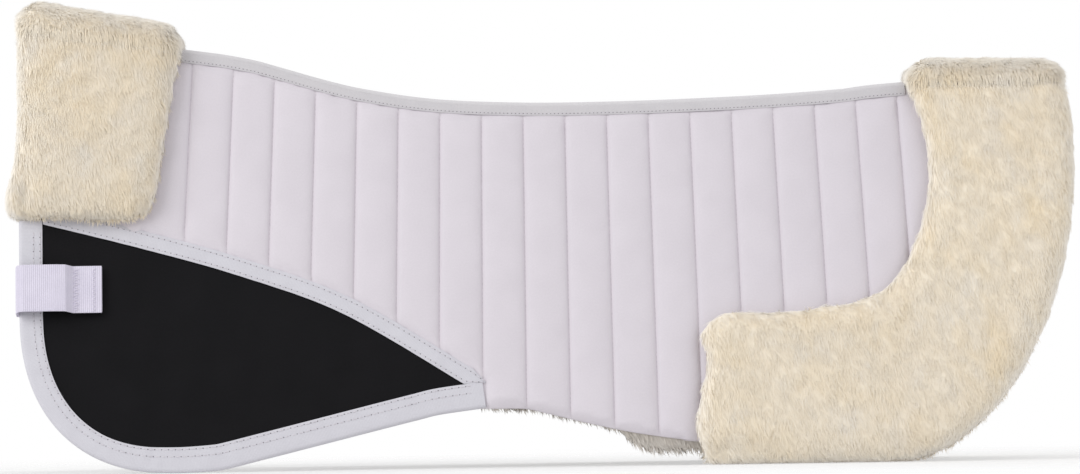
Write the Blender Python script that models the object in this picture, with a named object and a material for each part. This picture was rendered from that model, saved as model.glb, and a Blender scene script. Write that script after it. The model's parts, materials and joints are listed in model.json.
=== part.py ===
"""Faux fur saddle pad: two quilted halves that fold along a curved spine.

The front of the pad is at -X, the left half at -Y, and up is +Z. Outlines are given as seen
from the side, along X and up Z, in metres. Depth is counted out from the fold plane, which
holds the fold axis and the inner faces of a half.
"""
import math

import bmesh
import bpy
from mathutils import Matrix, Vector
from mathutils.geometry import delaunay_2d_cdt

for stale in list(bpy.data.objects):
    bpy.data.objects.remove(stale, do_unlink=True)

# How the pad stands: each half leans out from upright, and its middle bellies out
HALF_ANGLE = 14.0
BELLY = 0.009
PANEL_DROP = 0.30
BEND_DROPS = [PANEL_DROP * share for share in (0, 1 / 6, 11 / 30, 3 / 5, 4 / 5, 1)]

# The fold axis, which falls towards the rear
AXIS_HEIGHT = 0.2598
AXIS_FALL = 0.0674

# Lengths along the pad
FRONT_X = -0.3345
REAR_X = 0.3433
TRIM_OVERHANG = 0.0010
FRONT_TRIM_X = FRONT_X + 0.1045
FRONT_TRIM_LEAN = 0.17
FRONT_TRIM_BOTTOM = 0.1603
REAR_TRIM_X = REAR_X - 0.1083
REAR_TRIM_BAND = 0.0960
REAR_TRIM_ARM_X = REAR_X - 0.2443
REAR_TRIM_ARM_TOP = 0.0960
REAR_CURVE_X = REAR_X - 0.1213
REAR_CURVE_HEIGHT = 0.1900
REAR_CURVE_POWER = 1.92
FLAP_CURVE_X = FRONT_X + 0.0979
FLAP_CURVE_HEIGHT = 0.1040
FLAP_CURVE_POWER = 2.3
FLAP_TIP_X = FRONT_X + 0.2837
FLAP_TIP_Z = 0.0538
FLAP_CORNER_Z = 0.1640
HEM_HEIGHT = 0.0385
HEM_REAR_Z = 0.0156

# Heights of the spine, front to rear, where the halves end under the tape
SPINE_FRONT_Z = AXIS_HEIGHT + 0.0227
SPINE_WITHERS_Z = AXIS_HEIGHT + 0.0035
SPINE_LOW_Z = AXIS_HEIGHT - 0.0302
SPINE_REAR_Z = AXIS_HEIGHT - 0.0206

# Depths of the layers, out from the fold plane
LAYER_GAP = 0.0004
LINING_PILE = 0.0112
LINING_ROLL = 0.0060
WADDING_THICKNESS = 0.0020
COVER_THICKNESS = 0.0008
CHANNEL_HEIGHT = 0.0040
CHANNEL_PITCH = 0.0269
CHANNEL_START = -0.1988
CHANNEL_COUNT = 17
CHANNEL_FAN = 0.24
CHANNEL_LEVEL = 0.2035
SEAM_RISE = 0.25
TRIM_COVER = 0.0080
EDGE_FLAT = 0.0090
EDGE_ROLL = 0.0050
TRIM_CORE = 0.0050
TRIM_PILE = 0.0090
TRIM_ROUND = 0.0150
TRIM_WRAP = 0.0095
WRAP_RAMP = 0.0028
CORE_INSET = 0.0180
FRONT_CREST_RISE = (0.0200, 0.0158)
REAR_CREST_RISE = (0.0146, 0.0130)
CREST_END_SHARE = 0.35
MIDDLE_DEPTH = 0.0150

# Flap, tapes and binding
FLAP_THICKNESS = 0.0012
BACKING_THICKNESS = 0.0006
SEAM_LAP = 0.0038
TAPE_WIDTH = 0.0112
TAPE_THICKNESS = 0.0010
BINDING_FRONT = 0.0150
BINDING_BOTTOM = 0.0165
BINDING_THICKNESS = 0.0008
SPINE_TAPE_LEG = 0.0048
SPINE_TAPE_RISE = 0.0034

# Touch-close strap at the front edge of each flap
STRAP_WIDTH = 0.0298
STRAP_Z = 0.1170
STRAP_THICKNESS = 0.0015
STRAP_END_X = FRONT_X + 0.0532
STRAP_SLOT = 0.0082
STRAP_EASE = 0.0008
STRAP_BACK_X = FRONT_X + 0.0325
PATCH_LENGTH = 0.0190
PATCH_THICKNESS = 0.0012
RUNNING_GAP = 0.0003

# Fineness of the meshes
OUTLINE_STEP = 0.016
FIELD_STEP = 0.016
TINY = 0.0002

LEAN = math.tan(math.radians(HALF_ANGLE))
OUTWARD = Vector((LEAN * AXIS_FALL, -1.0, LEAN)).normalized()

LINING_IN = LAYER_GAP
LINING_OUT = LINING_IN + LINING_PILE
WADDING_IN = LINING_OUT + LAYER_GAP
EDGE_TOP = WADDING_IN + WADDING_THICKNESS + LAYER_GAP + COVER_THICKNESS
QUILT_TOP = EDGE_TOP + CHANNEL_HEIGHT
CORE_IN = QUILT_TOP + LAYER_GAP
TRIM_IN = CORE_IN + LAYER_GAP
TRIM_OUT = CORE_IN + TRIM_CORE + LAYER_GAP + TRIM_PILE
FLAP_OUT = EDGE_TOP
FLAP_IN = FLAP_OUT - FLAP_THICKNESS
BACKING_OUT = FLAP_IN - LAYER_GAP
BACKING_IN = BACKING_OUT - BACKING_THICKNESS
BINDING_OUT = FLAP_OUT + LAYER_GAP + BINDING_THICKNESS
BINDING_IN = BACKING_IN - LAYER_GAP - BINDING_THICKNESS

STRAP_FRONT_X = FRONT_X - STRAP_EASE
BASE_OUT = BINDING_IN - LAYER_GAP
PIVOT_DEPTH = BINDING_IN + RUNNING_GAP + STRAP_THICKNESS / 2


def axis_height(x):
    return AXIS_HEIGHT - AXIS_FALL * x


BOWS = [BELLY * math.sin(math.pi * min(d / PANEL_DROP, 1.0)) for d in BEND_DROPS]
SEEN_DROPS = [d - bow * OUTWARD.z for d, bow in zip(BEND_DROPS, BOWS)]


def on_bends(starts, values, start, beyond):
    """A value that runs straight between the bend lines, and at a given rate past the last."""
    for (s0, v0), (s1, v1) in zip(zip(starts, values), zip(starts[1:], values[1:])):
        if start <= s1:
            return v0 + (v1 - v0) * (start - s0) / (s1 - s0)
    return values[-1] + beyond * (start - starts[-1])


def belly(drop):
    """Outward bow at a drop below the fold axis, along the leaning plane."""
    return on_bends(BEND_DROPS, BOWS, drop, 0.0)


def place(x, z, depth, side=-1):
    """A point of a half, with its height as seen from the side at the middle depth.

    side is -1 for the left half and 1 for the right half.
    """
    x -= MIDDLE_DEPTH * OUTWARD.x
    seen = axis_height(x) - z + MIDDLE_DEPTH * OUTWARD.z
    drop = on_bends(SEEN_DROPS, BEND_DROPS, seen, 1.0)
    point = Vector((x, -LEAN * drop, axis_height(x) - drop)) + OUTWARD * (depth + belly(drop))
    point.y *= -side
    return point


def between(a, b, c, d, u):
    """A value part of the way from b to c, on a smooth curve that also passes a and d."""
    bend = 2 * a - 5 * b + 4 * c - d
    twist = 3 * b - a - 3 * c + d
    return b + 0.5 * ((c - a) * u + bend * u**2 + twist * u**3)


def smooth(points, step=OUTLINE_STEP):
    """Points of a smooth curve through the given ones, about a step apart."""
    ends = [points[0]] + list(points) + [points[-1]]
    found = []
    for four in zip(ends, ends[1:], ends[2:], ends[3:]):
        count = max(1, round(math.dist(four[1], four[2]) / step))
        for i in range(count):
            found.append(tuple(between(*values, i / count) for values in zip(*four)))
    return found + [tuple(points[-1])]


def rounded_quarter(centre, reach, power, start, stop, count):
    """Points of a superellipse round its centre, from one angle to another in degrees."""
    found = []
    for i in range(count + 1):
        angle = math.radians(start + (stop - start) * i / count)
        c, s = math.cos(angle), math.sin(angle)
        x = math.copysign(abs(c) ** (2 / power), c)
        z = math.copysign(abs(s) ** (2 / power), s)
        found.append((centre[0] + reach[0] * x, centre[1] + reach[1] * z))
    return found


def spine_curve():
    """The line on which both halves end under the tape and the crests, front to rear."""
    return smooth(
        [
            (FRONT_X - 0.0080, SPINE_FRONT_Z + 0.0015),
            (FRONT_X + 0.0400, SPINE_FRONT_Z - 0.0065),
            (FRONT_TRIM_X + 0.0300, SPINE_WITHERS_Z),
            (FRONT_TRIM_X + 0.0710, SPINE_WITHERS_Z - 0.0106),
            (FRONT_TRIM_X + 0.1080, SPINE_LOW_Z + 0.0126),
            (FRONT_TRIM_X + 0.1600, SPINE_LOW_Z + 0.0037),
            (-0.0120, SPINE_LOW_Z + 0.0003),
            (0.0380, SPINE_LOW_Z),
            (0.0880, SPINE_LOW_Z + 0.0009),
            (REAR_TRIM_X - 0.0870, SPINE_LOW_Z + 0.0030),
            (REAR_TRIM_X - 0.0380, SPINE_REAR_Z - 0.0036),
            (REAR_TRIM_X, SPINE_REAR_Z),
            (REAR_X + 0.0040, SPINE_REAR_Z + 0.0006),
        ]
    )


SPINE = spine_curve()


def spine_height(x):
    for (x0, z0), (x1, z1) in zip(SPINE, SPINE[1:]):
        if x0 <= x <= x1:
            return z0 + (z1 - z0) * (x - x0) / (x1 - x0)
    return SPINE[0][1] if x < SPINE[0][0] else SPINE[-1][1]


def spine_between(x0, x1):
    inner = [p for p in SPINE if x0 + TINY * 20 < p[0] < x1 - TINY * 20]
    return [(x0, spine_height(x0))] + inner + [(x1, spine_height(x1))]


def seam_curve():
    """The lower edge of the seam tape, from the front edge down to the tip of the flap."""
    return smooth(
        [
            (FRONT_X, FLAP_CORNER_Z),
            (FRONT_X + 0.0809, FLAP_CORNER_Z - 0.0212),
            (FRONT_X + 0.1446, FLAP_CORNER_Z - 0.0402),
            (FRONT_X + 0.2083, FLAP_TIP_Z + 0.0454),
            (FLAP_TIP_X, FLAP_TIP_Z),
        ]
    )


def shifted(line, away):
    """A line moved sideways, to the left of its own direction where away is positive."""
    found = []
    for i, (x, z) in enumerate(line):
        ax, az = line[max(i - 1, 0)]
        bx, bz = line[min(i + 1, len(line) - 1)]
        run = math.hypot(bx - ax, bz - az)
        found.append((x - (bz - az) / run * away, z + (bx - ax) / run * away))
    return found


def inset(loop, inwards):
    """A closed counter-clockwise outline moved inwards, without the points that come too near."""
    found = []
    for i, (x, z) in enumerate(loop):
        ax, az = loop[i - 1]
        bx, bz = loop[(i + 1) % len(loop)]
        run = math.hypot(bx - ax, bz - az)
        moved = (x - (bz - az) / run * inwards, z + (bx - ax) / run * inwards)
        if edge_distance(moved, loop) > abs(inwards) * 0.93:
            found.append(moved)
    return found


def segment_distance(p, a, b):
    ax, az = a
    dx, dz = b[0] - ax, b[1] - az
    length = dx * dx + dz * dz
    u = 0.0 if length == 0 else max(0.0, min(1.0, ((p[0] - ax) * dx + (p[1] - az) * dz) / length))
    return math.hypot(p[0] - ax - u * dx, p[1] - az - u * dz)


def line_distance(p, line):
    return min(segment_distance(p, a, b) for a, b in zip(line, line[1:]))


def edge_distance(p, loop):
    return line_distance(p, loop + loop[:1])


def inside(p, loop):
    found = False
    for (x0, z0), (x1, z1) in zip(loop, loop[1:] + loop[:1]):
        if (z0 > p[1]) != (z1 > p[1]) and p[0] < (x1 - x0) * (p[1] - z0) / (z1 - z0) + x0:
            found = not found
    return found


def outside_by(p, loop):
    """Distance outside an outline, negative inside it."""
    return edge_distance(p, loop) * (-1 if inside(p, loop) else 1)


def hem_curve():
    """The lower edge of the quilted panel, from the tip of the flap to the rear trim."""
    return smooth(
        [
            (FLAP_TIP_X + 0.0180, HEM_HEIGHT),
            (-0.0120, HEM_HEIGHT - 0.0004),
            (0.0180, HEM_HEIGHT - 0.0076),
            (0.0570, HEM_REAR_Z + 0.0064),
            (REAR_TRIM_ARM_X, HEM_REAR_Z),
        ]
    )


def rear_curve(inwards, count):
    """The rounded rear edge, from the bottom up to the upper rear corner."""
    centre = (REAR_CURVE_X, REAR_CURVE_HEIGHT)
    reach = (REAR_X - REAR_CURVE_X - inwards, REAR_CURVE_HEIGHT - inwards)
    return rounded_quarter(centre, reach, REAR_CURVE_POWER, -90, 0, count)


def height_on(line, x):
    """Height of a line that runs rearwards, at a place along X."""
    for (x0, z0), (x1, z1) in zip(line, line[1:]):
        if x0 <= x <= x1:
            return z0 + (z1 - z0) * (x - x0) / (x1 - x0)
    return line[0][1] if x < line[0][0] else line[-1][1]


def seam_from(x, lap):
    """The edge that lies a lap above the seam, from a place along X to the tip of the flap."""
    line = shifted(seam_curve(), lap)
    return [(x, height_on(line, x))] + [p for p in line if p[0] > x + 20 * TINY]


def panel_outline(lower):
    """The padded panel of a half, counter-clockwise, with the given lower edge."""
    front = FRONT_X + TRIM_WRAP
    rear = rear_curve(TRIM_WRAP, 9)
    top = spine_between(front, REAR_X - TRIM_WRAP - 0.0030)
    return seam_from(front, SEAM_LAP + LAYER_GAP) + lower + rear[1:] + top[::-1]


def quilt_outline():
    tip = [(FLAP_TIP_X + 0.0038, FLAP_TIP_Z), (FLAP_TIP_X + 0.0056, HEM_HEIGHT + 0.0004)]
    return panel_outline(tip + hem_curve() + [(REAR_CURVE_X - 0.0400, TRIM_WRAP + 0.0020)])


def lining_outline():
    hem = [(x, z - 0.0010) for x, z in hem_curve() if x < REAR_TRIM_ARM_X - 0.0530]
    arm = REAR_TRIM_ARM_X
    step = [(arm - 0.0470, 0.0160), (arm - 0.0380, 0.0090), (arm - 0.0190, 0.0080)]
    end = [(REAR_CURVE_X - 0.0400, TRIM_WRAP)]
    tip = [(FLAP_TIP_X + 0.0038, FLAP_TIP_Z), (FLAP_TIP_X + 0.0060, HEM_HEIGHT)]
    return panel_outline(tip + hem + step + end)


def flap_edge():
    """The outer edge of the flap, from under the front trim round to the tip's end."""
    corner = rounded_quarter(
        (FLAP_CURVE_X, FLAP_CURVE_HEIGHT),
        (FLAP_CURVE_X - FRONT_X, FLAP_CURVE_HEIGHT - 0.0003),
        FLAP_CURVE_POWER,
        180,
        270,
        12,
    )
    bottom = smooth(
        [
            corner[-1],
            (FLAP_CURVE_X + 0.0266, 0.0012),
            (FLAP_CURVE_X + 0.0546, 0.0072),
            (FLAP_TIP_X - 0.0156, HEM_HEIGHT - 0.0037),
            (FLAP_TIP_X + 0.0050, HEM_HEIGHT - 0.0010),
        ]
    )
    down = [(FRONT_X, z) for z in (FRONT_TRIM_BOTTOM + 0.0022, 0.1440, 0.1240)]
    return down + corner + bottom[1:]


def flap_outline(inwards, lap):
    """The flap up to a lap beyond the seam, with its edge inside the binding."""
    edge = shifted(flap_edge(), inwards)
    end = FLAP_TIP_X + 0.0020
    edge = [p for p in edge if p[0] < end - 20 * TINY] + [(end, height_on(edge[-6:], end))]
    under = FRONT_X + TRIM_WRAP
    top = FRONT_TRIM_BOTTOM - 0.0010
    seam = seam_from(under, lap)
    return [(FRONT_X + inwards, top)] + edge[1:] + seam[::-1] + [(under, top)]


def front_trim_outline():
    """The fur at the front of a half, counter-clockwise from its lower front corner."""
    low = FRONT_TRIM_BOTTOM
    back = FRONT_TRIM_X
    lean = FRONT_TRIM_LEAN
    edge = FRONT_X - TRIM_OVERHANG
    top_corner = SPINE_WITHERS_Z + 0.0045
    heights = (low + 0.0130, low + 0.0375, top_corner - 0.0400, top_corner - 0.0180)
    inner = [(back - lean * (top_corner - height), height) for height in heights]
    turn = inner[0][0]
    bottom = smooth([(edge - 0.0010, low + 0.0040), (edge + 0.0400, low + 0.0010), (turn - 0.0160, low)])
    corner = [(turn - 0.0050, low + 0.0035)]
    bulges = ((0.0015, 0.0405), (0.0080, 0.0165), (0.0072, 0.0085))
    left = [(edge, SPINE_FRONT_Z - 0.0247), (edge, SPINE_FRONT_Z - 0.0597)]
    left += [(edge - bulge, low + rise) for bulge, rise in bulges]
    top = spine_between(edge, back + 0.0005)
    return bottom + corner + inner + top[::-1] + left


def rear_trim_outline():
    """The fur round the rear and along the lower rear edge, counter-clockwise."""
    arm = REAR_TRIM_ARM_X
    top = REAR_TRIM_ARM_TOP
    inner_x = REAR_X - REAR_TRIM_BAND
    inner = smooth(
        [
            (REAR_TRIM_X + 0.0012, spine_height(REAR_TRIM_X)),
            (inner_x - 0.0010, 0.2000),
            (inner_x - 0.0010, 0.1700),
            (inner_x - 0.0130, 0.1320),
            (inner_x - 0.0320, top + 0.0120),
            (inner_x - 0.0720, top + 0.0030),
            (arm + 0.0400, top),
            (arm + 0.0150, top + 0.0015),
        ]
    )
    end = [(arm + 0.0030, top - 0.0060), (arm, top - 0.0160), (arm + 0.0035, 0.0680), (arm, 0.0450)]
    end += [(arm - 0.0040, 0.0240), (arm - 0.0010, 0.0080), (arm + 0.0060, -0.0005)]
    bottom = [(arm + 0.0060 + (REAR_CURVE_X - arm - 0.0060) * i / 8, -0.0005) for i in range(1, 8)]
    rear = rear_curve(0.0, 14)
    rear = [(x, z - 0.0005 * (1 - z / REAR_CURVE_HEIGHT)) for x, z in rear]
    upper = [(REAR_X - 0.0004, (REAR_CURVE_HEIGHT + SPINE_REAR_Z + 0.0008) / 2)]
    last = REAR_X - 0.0045
    top_line = spine_between(REAR_TRIM_X + 0.0012, last)
    return end + bottom + rear + upper + top_line[::-1][:-1] + inner


def grid_points(loop, clear, step=FIELD_STEP):
    """Points in staggered rows inside an outline, kept clear of its edge."""
    xs = [p[0] for p in loop]
    zs = [p[1] for p in loop]
    found = []
    rise = step * math.sqrt(3) / 2
    for row in range(int((max(zs) - min(zs)) / rise) + 2):
        z = min(zs) + row * rise
        x = min(xs) + (step / 2 if row % 2 else 0)
        while x < max(xs):
            if inside((x, z), loop) and edge_distance((x, z), loop) > clear:
                found.append((x, z))
            x += step
    return found


def bend_lines(loop):
    """The lines on which a half bends, across an outline."""
    xs = [p[0] for p in loop]
    lines = []
    for seen in SEEN_DROPS[1:-1]:
        ends = []
        for x in (min(xs) - 0.01, max(xs) + 0.01):
            ends.append((x, axis_height(x) - seen + MIDDLE_DEPTH * OUTWARD.z))
        lines.append(ends)
    return lines


def channel_place(x, z):
    """Where a point lies across the channels, which fan out downwards, in pitches."""
    return (x / (1 - CHANNEL_FAN * (z - CHANNEL_LEVEL)) - CHANNEL_START) / CHANNEL_PITCH


def channel_end(x):
    """How far down the channels run: to the hem, or to just under the arm of the rear trim."""
    return REAR_TRIM_ARM_TOP - TRIM_COVER if x > REAR_TRIM_ARM_X + TRIM_COVER else -0.02


def channel_lines():
    lines = []
    for i in range(2 * CHANNEL_COUNT - 1):
        x = CHANNEL_START + i * CHANNEL_PITCH / 2
        reach = (channel_end(x), AXIS_HEIGHT + 0.07)
        ends = [(x * (1 - CHANNEL_FAN * (z - CHANNEL_LEVEL)), z) for z in reach]
        lines.append(ends)
    return lines


def channel_relief(p, loop):
    """Height of the quilting at a point: 0 at the edge, some in the seams, 1 on the crowns."""
    across = channel_place(*p)
    rise = 1.0
    if -0.01 < across < CHANNEL_COUNT - 0.99 and p[1] > channel_end(p[0]) - TINY:
        near = min(across % 1.0, 1 - across % 1.0)
        rise = SEAM_RISE + (1 - SEAM_RISE) * min(near / 0.5, 1.0)
    return rise * max(0.0, min((edge_distance(p, loop) - EDGE_FLAT) / EDGE_ROLL, 1.0))


def triangulate(loop, lines=(), points=()):
    """Triangles of an outline that also keep to the given lines and points."""
    corners = [Vector(p) for p in loop]
    count = len(corners)
    edges = [(i, (i + 1) % count) for i in range(count)]
    for line in lines:
        first = len(corners)
        corners += [Vector(p) for p in line]
        edges += [(first + i, first + i + 1) for i in range(len(line) - 1)]
    corners += [Vector(p) for p in points]
    places, _, faces, _, _, _ = delaunay_2d_cdt(corners, edges, [], 0, TINY)
    places = [tuple(p) for p in places]
    kept = []
    for face in faces:
        middle = tuple(sum(places[i][k] for i in face) / len(face) for k in (0, 1))
        a, b, c = (Vector(places[i]) for i in face[:3])
        area = abs((b - a).cross(c - a)) / 2
        if area > 1e-9 and inside(middle, loop):
            kept.append(tuple(face))
    used = sorted({i for face in kept for i in face})
    number = {old: new for new, old in enumerate(used)}
    return [places[i] for i in used], [tuple(number[i] for i in face) for face in kept]


def paint(name, colour, roughness):
    """A plain cloth material, shared by the pieces that are cut from the same stuff."""
    material = bpy.data.materials.get(name) or bpy.data.materials.new(name)
    material.use_nodes = True
    shader = material.node_tree.nodes["Principled BSDF"]
    shader.inputs["Base Color"].default_value = (*colour, 1.0)
    shader.inputs["Roughness"].default_value = roughness
    shader.inputs["Metallic"].default_value = 0.0
    return material


FINISHES = {
    "cream_fur": ((0.78, 0.68, 0.54), 0.95),
    "grey_fur": ((0.45, 0.41, 0.37), 0.95),
    "white_cotton": ((0.74, 0.71, 0.75), 0.85),
    "wadding": ((0.80, 0.80, 0.78), 0.95),
    "foam": ((0.72, 0.70, 0.62), 0.90),
    "black_nylon": ((0.011, 0.010, 0.012), 0.55),
    "white_tape": ((0.62, 0.61, 0.66), 0.75),
    "white_webbing": ((0.67, 0.64, 0.74), 0.70),
    "hook_tape": ((0.60, 0.60, 0.62), 0.80),
    "loop_pile": ((0.020, 0.020, 0.022), 0.95),
}


def finish(name, bm, finish_name, parent):
    """Makes an object of a closed mesh and hangs it on its body."""
    bmesh.ops.recalc_face_normals(bm, faces=bm.faces)
    mesh = bpy.data.meshes.new(name)
    bm.to_mesh(mesh)
    bm.free()
    mesh.shade_smooth()
    mesh.set_sharp_from_angle(angle=math.radians(35))
    colour, roughness = FINISHES[finish_name]
    mesh.materials.append(paint(finish_name, colour, roughness))
    piece = bpy.data.objects.new(name, mesh)
    bpy.context.scene.collection.objects.link(piece)
    piece.parent = parent
    piece.matrix_parent_inverse = parent.matrix_world.inverted()
    return piece


def stand_flat(bm):
    """Cuts a mesh level with the ground and closes the cut."""
    cut = bmesh.ops.bisect_plane(
        bm,
        geom=bm.verts[:] + bm.edges[:] + bm.faces[:],
        dist=1e-6,
        plane_co=(0, 0, 0),
        plane_no=(0, 0, -1),
        clear_outer=True,
    )
    rim = [e for e in cut["geom_cut"] if isinstance(e, bmesh.types.BMEdge)]
    if rim:
        bmesh.ops.holes_fill(bm, edges=[e for e in bm.edges if e.is_boundary], sides=0)


def rim_of(faces):
    """The outer edge of some triangles, as point numbers in order."""
    sides = {(a, b) for face in faces for a, b in zip(face, face[1:] + face[:1])}
    after = {a: b for a, b in sides if (b, a) not in sides}
    rim = [min(after)]
    while after[rim[-1]] != rim[0]:
        rim.append(after[rim[-1]])
    return rim


def slab_mesh(upper, lower, top, bottom, side):
    """A closed slab between two depths, from the triangles of its two faces."""
    bm = bmesh.new()
    over = [bm.verts.new(place(*p, top(p), side)) for p in upper[0]]
    under = [bm.verts.new(place(*p, bottom(p), side)) for p in lower[0]]
    for face in upper[1]:
        bm.faces.new([over[i] for i in face])
    for face in lower[1]:
        bm.faces.new([under[i] for i in reversed(face)])
    rim = rim_of(upper[1])
    low_rim = rim_of(lower[1])
    twin = {i: min(low_rim, key=lambda j: math.dist(lower[0][j], upper[0][i])) for i in rim}
    for a, b in zip(rim, rim[1:] + rim[:1]):
        bm.faces.new((over[b], over[a], under[twin[a]], under[twin[b]]))
    return bm


def layer(name, loop, top, bottom, finish_name, lines=(), points=(), flat=False, plain_below=False):
    """The same layer on both halves. Its lower face may be plainer than its upper one."""
    upper = triangulate(loop, lines, points)
    lower = upper
    if plain_below:
        rim = [upper[0][i] for i in rim_of(upper[1])]
        lower = triangulate(rim, bend_lines(rim))
    for side, word in SIDES:
        bm = slab_mesh(upper, lower, top, bottom, side)
        if flat:
            stand_flat(bm)
        finish(f"{word}_{name}", bm, finish_name, FOLDS[word])


def level(depth):
    return lambda p: depth


def ramp(distance, start, stop, before, after):
    share = max(0.0, min(1.0, (distance - start) / (stop - start)))
    return before + (after - before) * share


def crown(distance):
    """Share of full height at a distance from a rounded edge."""
    share = min(distance / TRIM_ROUND, 1.0)
    return math.sqrt(1 - (1 - share) ** 2)


def empty(name, location, direction, parent=None):
    """A pivot whose own X runs along a joint's axis."""
    pivot = bpy.data.objects.new(name, None)
    bpy.context.scene.collection.objects.link(pivot)
    turn = direction.to_track_quat("X", "Z").to_matrix().to_4x4()
    pivot.matrix_world = Matrix.Translation(location) @ turn
    bpy.context.view_layer.update()
    if parent:
        pivot.parent = parent
        pivot.matrix_parent_inverse = parent.matrix_world.inverted()
        bpy.context.view_layer.update()
    return pivot


SIDES = ((-1, "left"), (1, "right"))
AXIS = Vector((1.0, 0.0, -AXIS_FALL)).normalized()
HUB = Vector((0.0, 0.0, AXIS_HEIGHT))
SPINE_BODY = empty("spine_frame", Vector((0, 0, 0)), Vector((1, 0, 0)))
FOLDS = {word: empty(f"{word}_fold", HUB, AXIS * side, SPINE_BODY) for side, word in SIDES}


def make_quilt():
    """Lining, wadding and stitched cotton cover of the padded panel."""
    quilt = quilt_outline()
    rings = [inset(quilt, EDGE_FLAT), inset(quilt, EDGE_FLAT + EDGE_ROLL)]
    lines = bend_lines(quilt) + channel_lines() + [ring + ring[:1] for ring in rings]
    cover_in = level(EDGE_TOP - COVER_THICKNESS)

    def cover_top(p):
        return EDGE_TOP + CHANNEL_HEIGHT * channel_relief(p, quilt)

    layer("quilt_cover", quilt, cover_top, cover_in, "white_cotton", lines, plain_below=True)
    wadding_out = level(WADDING_IN + WADDING_THICKNESS)
    layer("wadding", quilt, wadding_out, level(WADDING_IN), "wadding", bend_lines(quilt))
    lining = lining_outline()
    ring = inset(lining, LINING_ROLL)

    def fur_in(p):
        edge = 1 - min(edge_distance(p, lining) / LINING_ROLL, 1.0)
        return LINING_IN + LINING_PILE * 0.30 * edge

    lines = bend_lines(lining) + [ring + ring[:1]]
    layer("lining", lining, level(LINING_OUT), fur_in, "grey_fur", lines)


def make_flap():
    """Black flap with its backing, the tape over its seam and the binding round its edge."""
    outline = flap_outline(BINDING_THICKNESS + LAYER_GAP, SEAM_LAP)
    bends = bend_lines(outline)
    layer("flap_panel", outline, level(FLAP_OUT), level(FLAP_IN), "black_nylon", bends)
    layer("flap_backing", outline, level(BACKING_OUT), level(BACKING_IN), "white_cotton", bends)
    start = FRONT_X + BINDING_FRONT + LAYER_GAP
    tape = seam_from(start, 0.0) + seam_from(start, TAPE_WIDTH)[::-1]
    under = EDGE_TOP + LAYER_GAP
    layer("seam_tape", tape, level(under + TAPE_THICKNESS), level(under), "white_tape", bend_lines(tape))
    make_binding()


def make_binding():
    """A folded tape round the edge of the flap, with a leg on each face."""
    edge = flap_edge()
    runs = [0.0]
    for a, b in zip(edge, edge[1:]):
        runs.append(runs[-1] + math.dist(a, b))
    for side, word in SIDES:
        bm = bmesh.new()
        rings = []
        for i, (x, z) in enumerate(edge):
            share = min(max((runs[i] / runs[-1] - 0.40) / 0.20, 0.0), 1.0)
            width = BINDING_FRONT + (BINDING_BOTTOM - BINDING_FRONT) * share
            outer = BINDING_OUT - BINDING_THICKNESS
            inner = BINDING_IN + BINDING_THICKNESS
            profile = [
                (0.0, BINDING_IN),
                (0.0, BINDING_OUT),
                (width, BINDING_OUT),
                (width, outer),
                (BINDING_THICKNESS, outer),
                (BINDING_THICKNESS, inner),
                (width * 0.8, inner),
                (width * 0.8, BINDING_IN),
            ]
            ring = []
            for inwards, depth in profile:
                px, pz = shifted(edge, inwards)[i]
                ring.append(bm.verts.new(place(px, pz, depth, side)))
            rings.append(ring)
        join_rings(bm, rings)
        stand_flat(bm)
        finish(f"{word}_flap_binding", bm, "white_tape", FOLDS[word])


def join_rings(bm, rings):
    """Skins a row of rings and closes both ends."""
    for first, second in zip(rings, rings[1:]):
        for i in range(len(first)):
            j = (i + 1) % len(first)
            bm.faces.new((first[i], first[j], second[j], second[i]))
    for ring in (rings[0], rings[-1]):
        bmesh.ops.triangle_fill(bm, use_beauty=True, edges=ring_edges(bm, ring))


def ring_edges(bm, ring):
    return [bm.edges.get((ring[i - 1], ring[i])) for i in range(len(ring))]


def trim_depths(beyond, core, round_edges):
    """Outer and inner depth of a fur trim that wraps the panel's edge over a foam core."""

    def top(p):
        return TRIM_OUT - (TRIM_PILE + 0.0020) * (1 - crown(line_distance(p, round_edges)))

    def bottom(p):
        over_core = ramp(outside_by(p, core), LAYER_GAP, 0.0030, CORE_IN + TRIM_CORE + LAYER_GAP, TRIM_IN)
        nose = LINING_IN + 0.0080 * (1 - crown(line_distance(p, round_edges)))
        return ramp(beyond(p), LAYER_GAP, WRAP_RAMP, over_core, nose)

    return top, bottom


def make_trim(name, loop, beyond, wrap, flat):
    """A fur trim on each half and the foam core that fills it."""
    core = inset(loop, CORE_INSET)
    top, bottom = trim_depths(beyond, core, ordered_free(loop))
    rim = [inset(core, -LAYER_GAP), inset(core, -0.0030)]
    lines = [ring + ring[:1] for ring in rim] + wrap
    field = [p for p in grid_points(loop, 0.010) if clear_of(p, lines, 0.004)]
    layer(f"{name}_trim", loop, top, bottom, "cream_fur", lines, inset(loop, 0.0045) + field, flat)
    core_out = level(CORE_IN + TRIM_CORE)
    layer(f"{name}_core", core, core_out, level(CORE_IN), "foam", bend_lines(core))


def clear_of(p, lines, clear):
    return all(line_distance(p, line) > clear for line in lines)


def make_trims():
    front = FRONT_X + TRIM_WRAP
    reach = (FRONT_TRIM_BOTTOM - 0.0625, SPINE_FRONT_Z + 0.0375)
    wrap = [[(front - away, z) for z in reach] for away in (LAYER_GAP, WRAP_RAMP)]
    make_trim("front", front_trim_outline(), lambda p: front - p[0], wrap, False)
    panel = lining_outline()
    wrap = [inset(panel, -away) for away in (LAYER_GAP, WRAP_RAMP)]
    wrap = [ring + ring[:1] for ring in wrap]
    make_trim("rear", rear_trim_outline(), lambda p: outside_by(p, panel), wrap, True)


def on_spine(p):
    return abs(p[1] - spine_height(p[0])) < TINY


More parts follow.
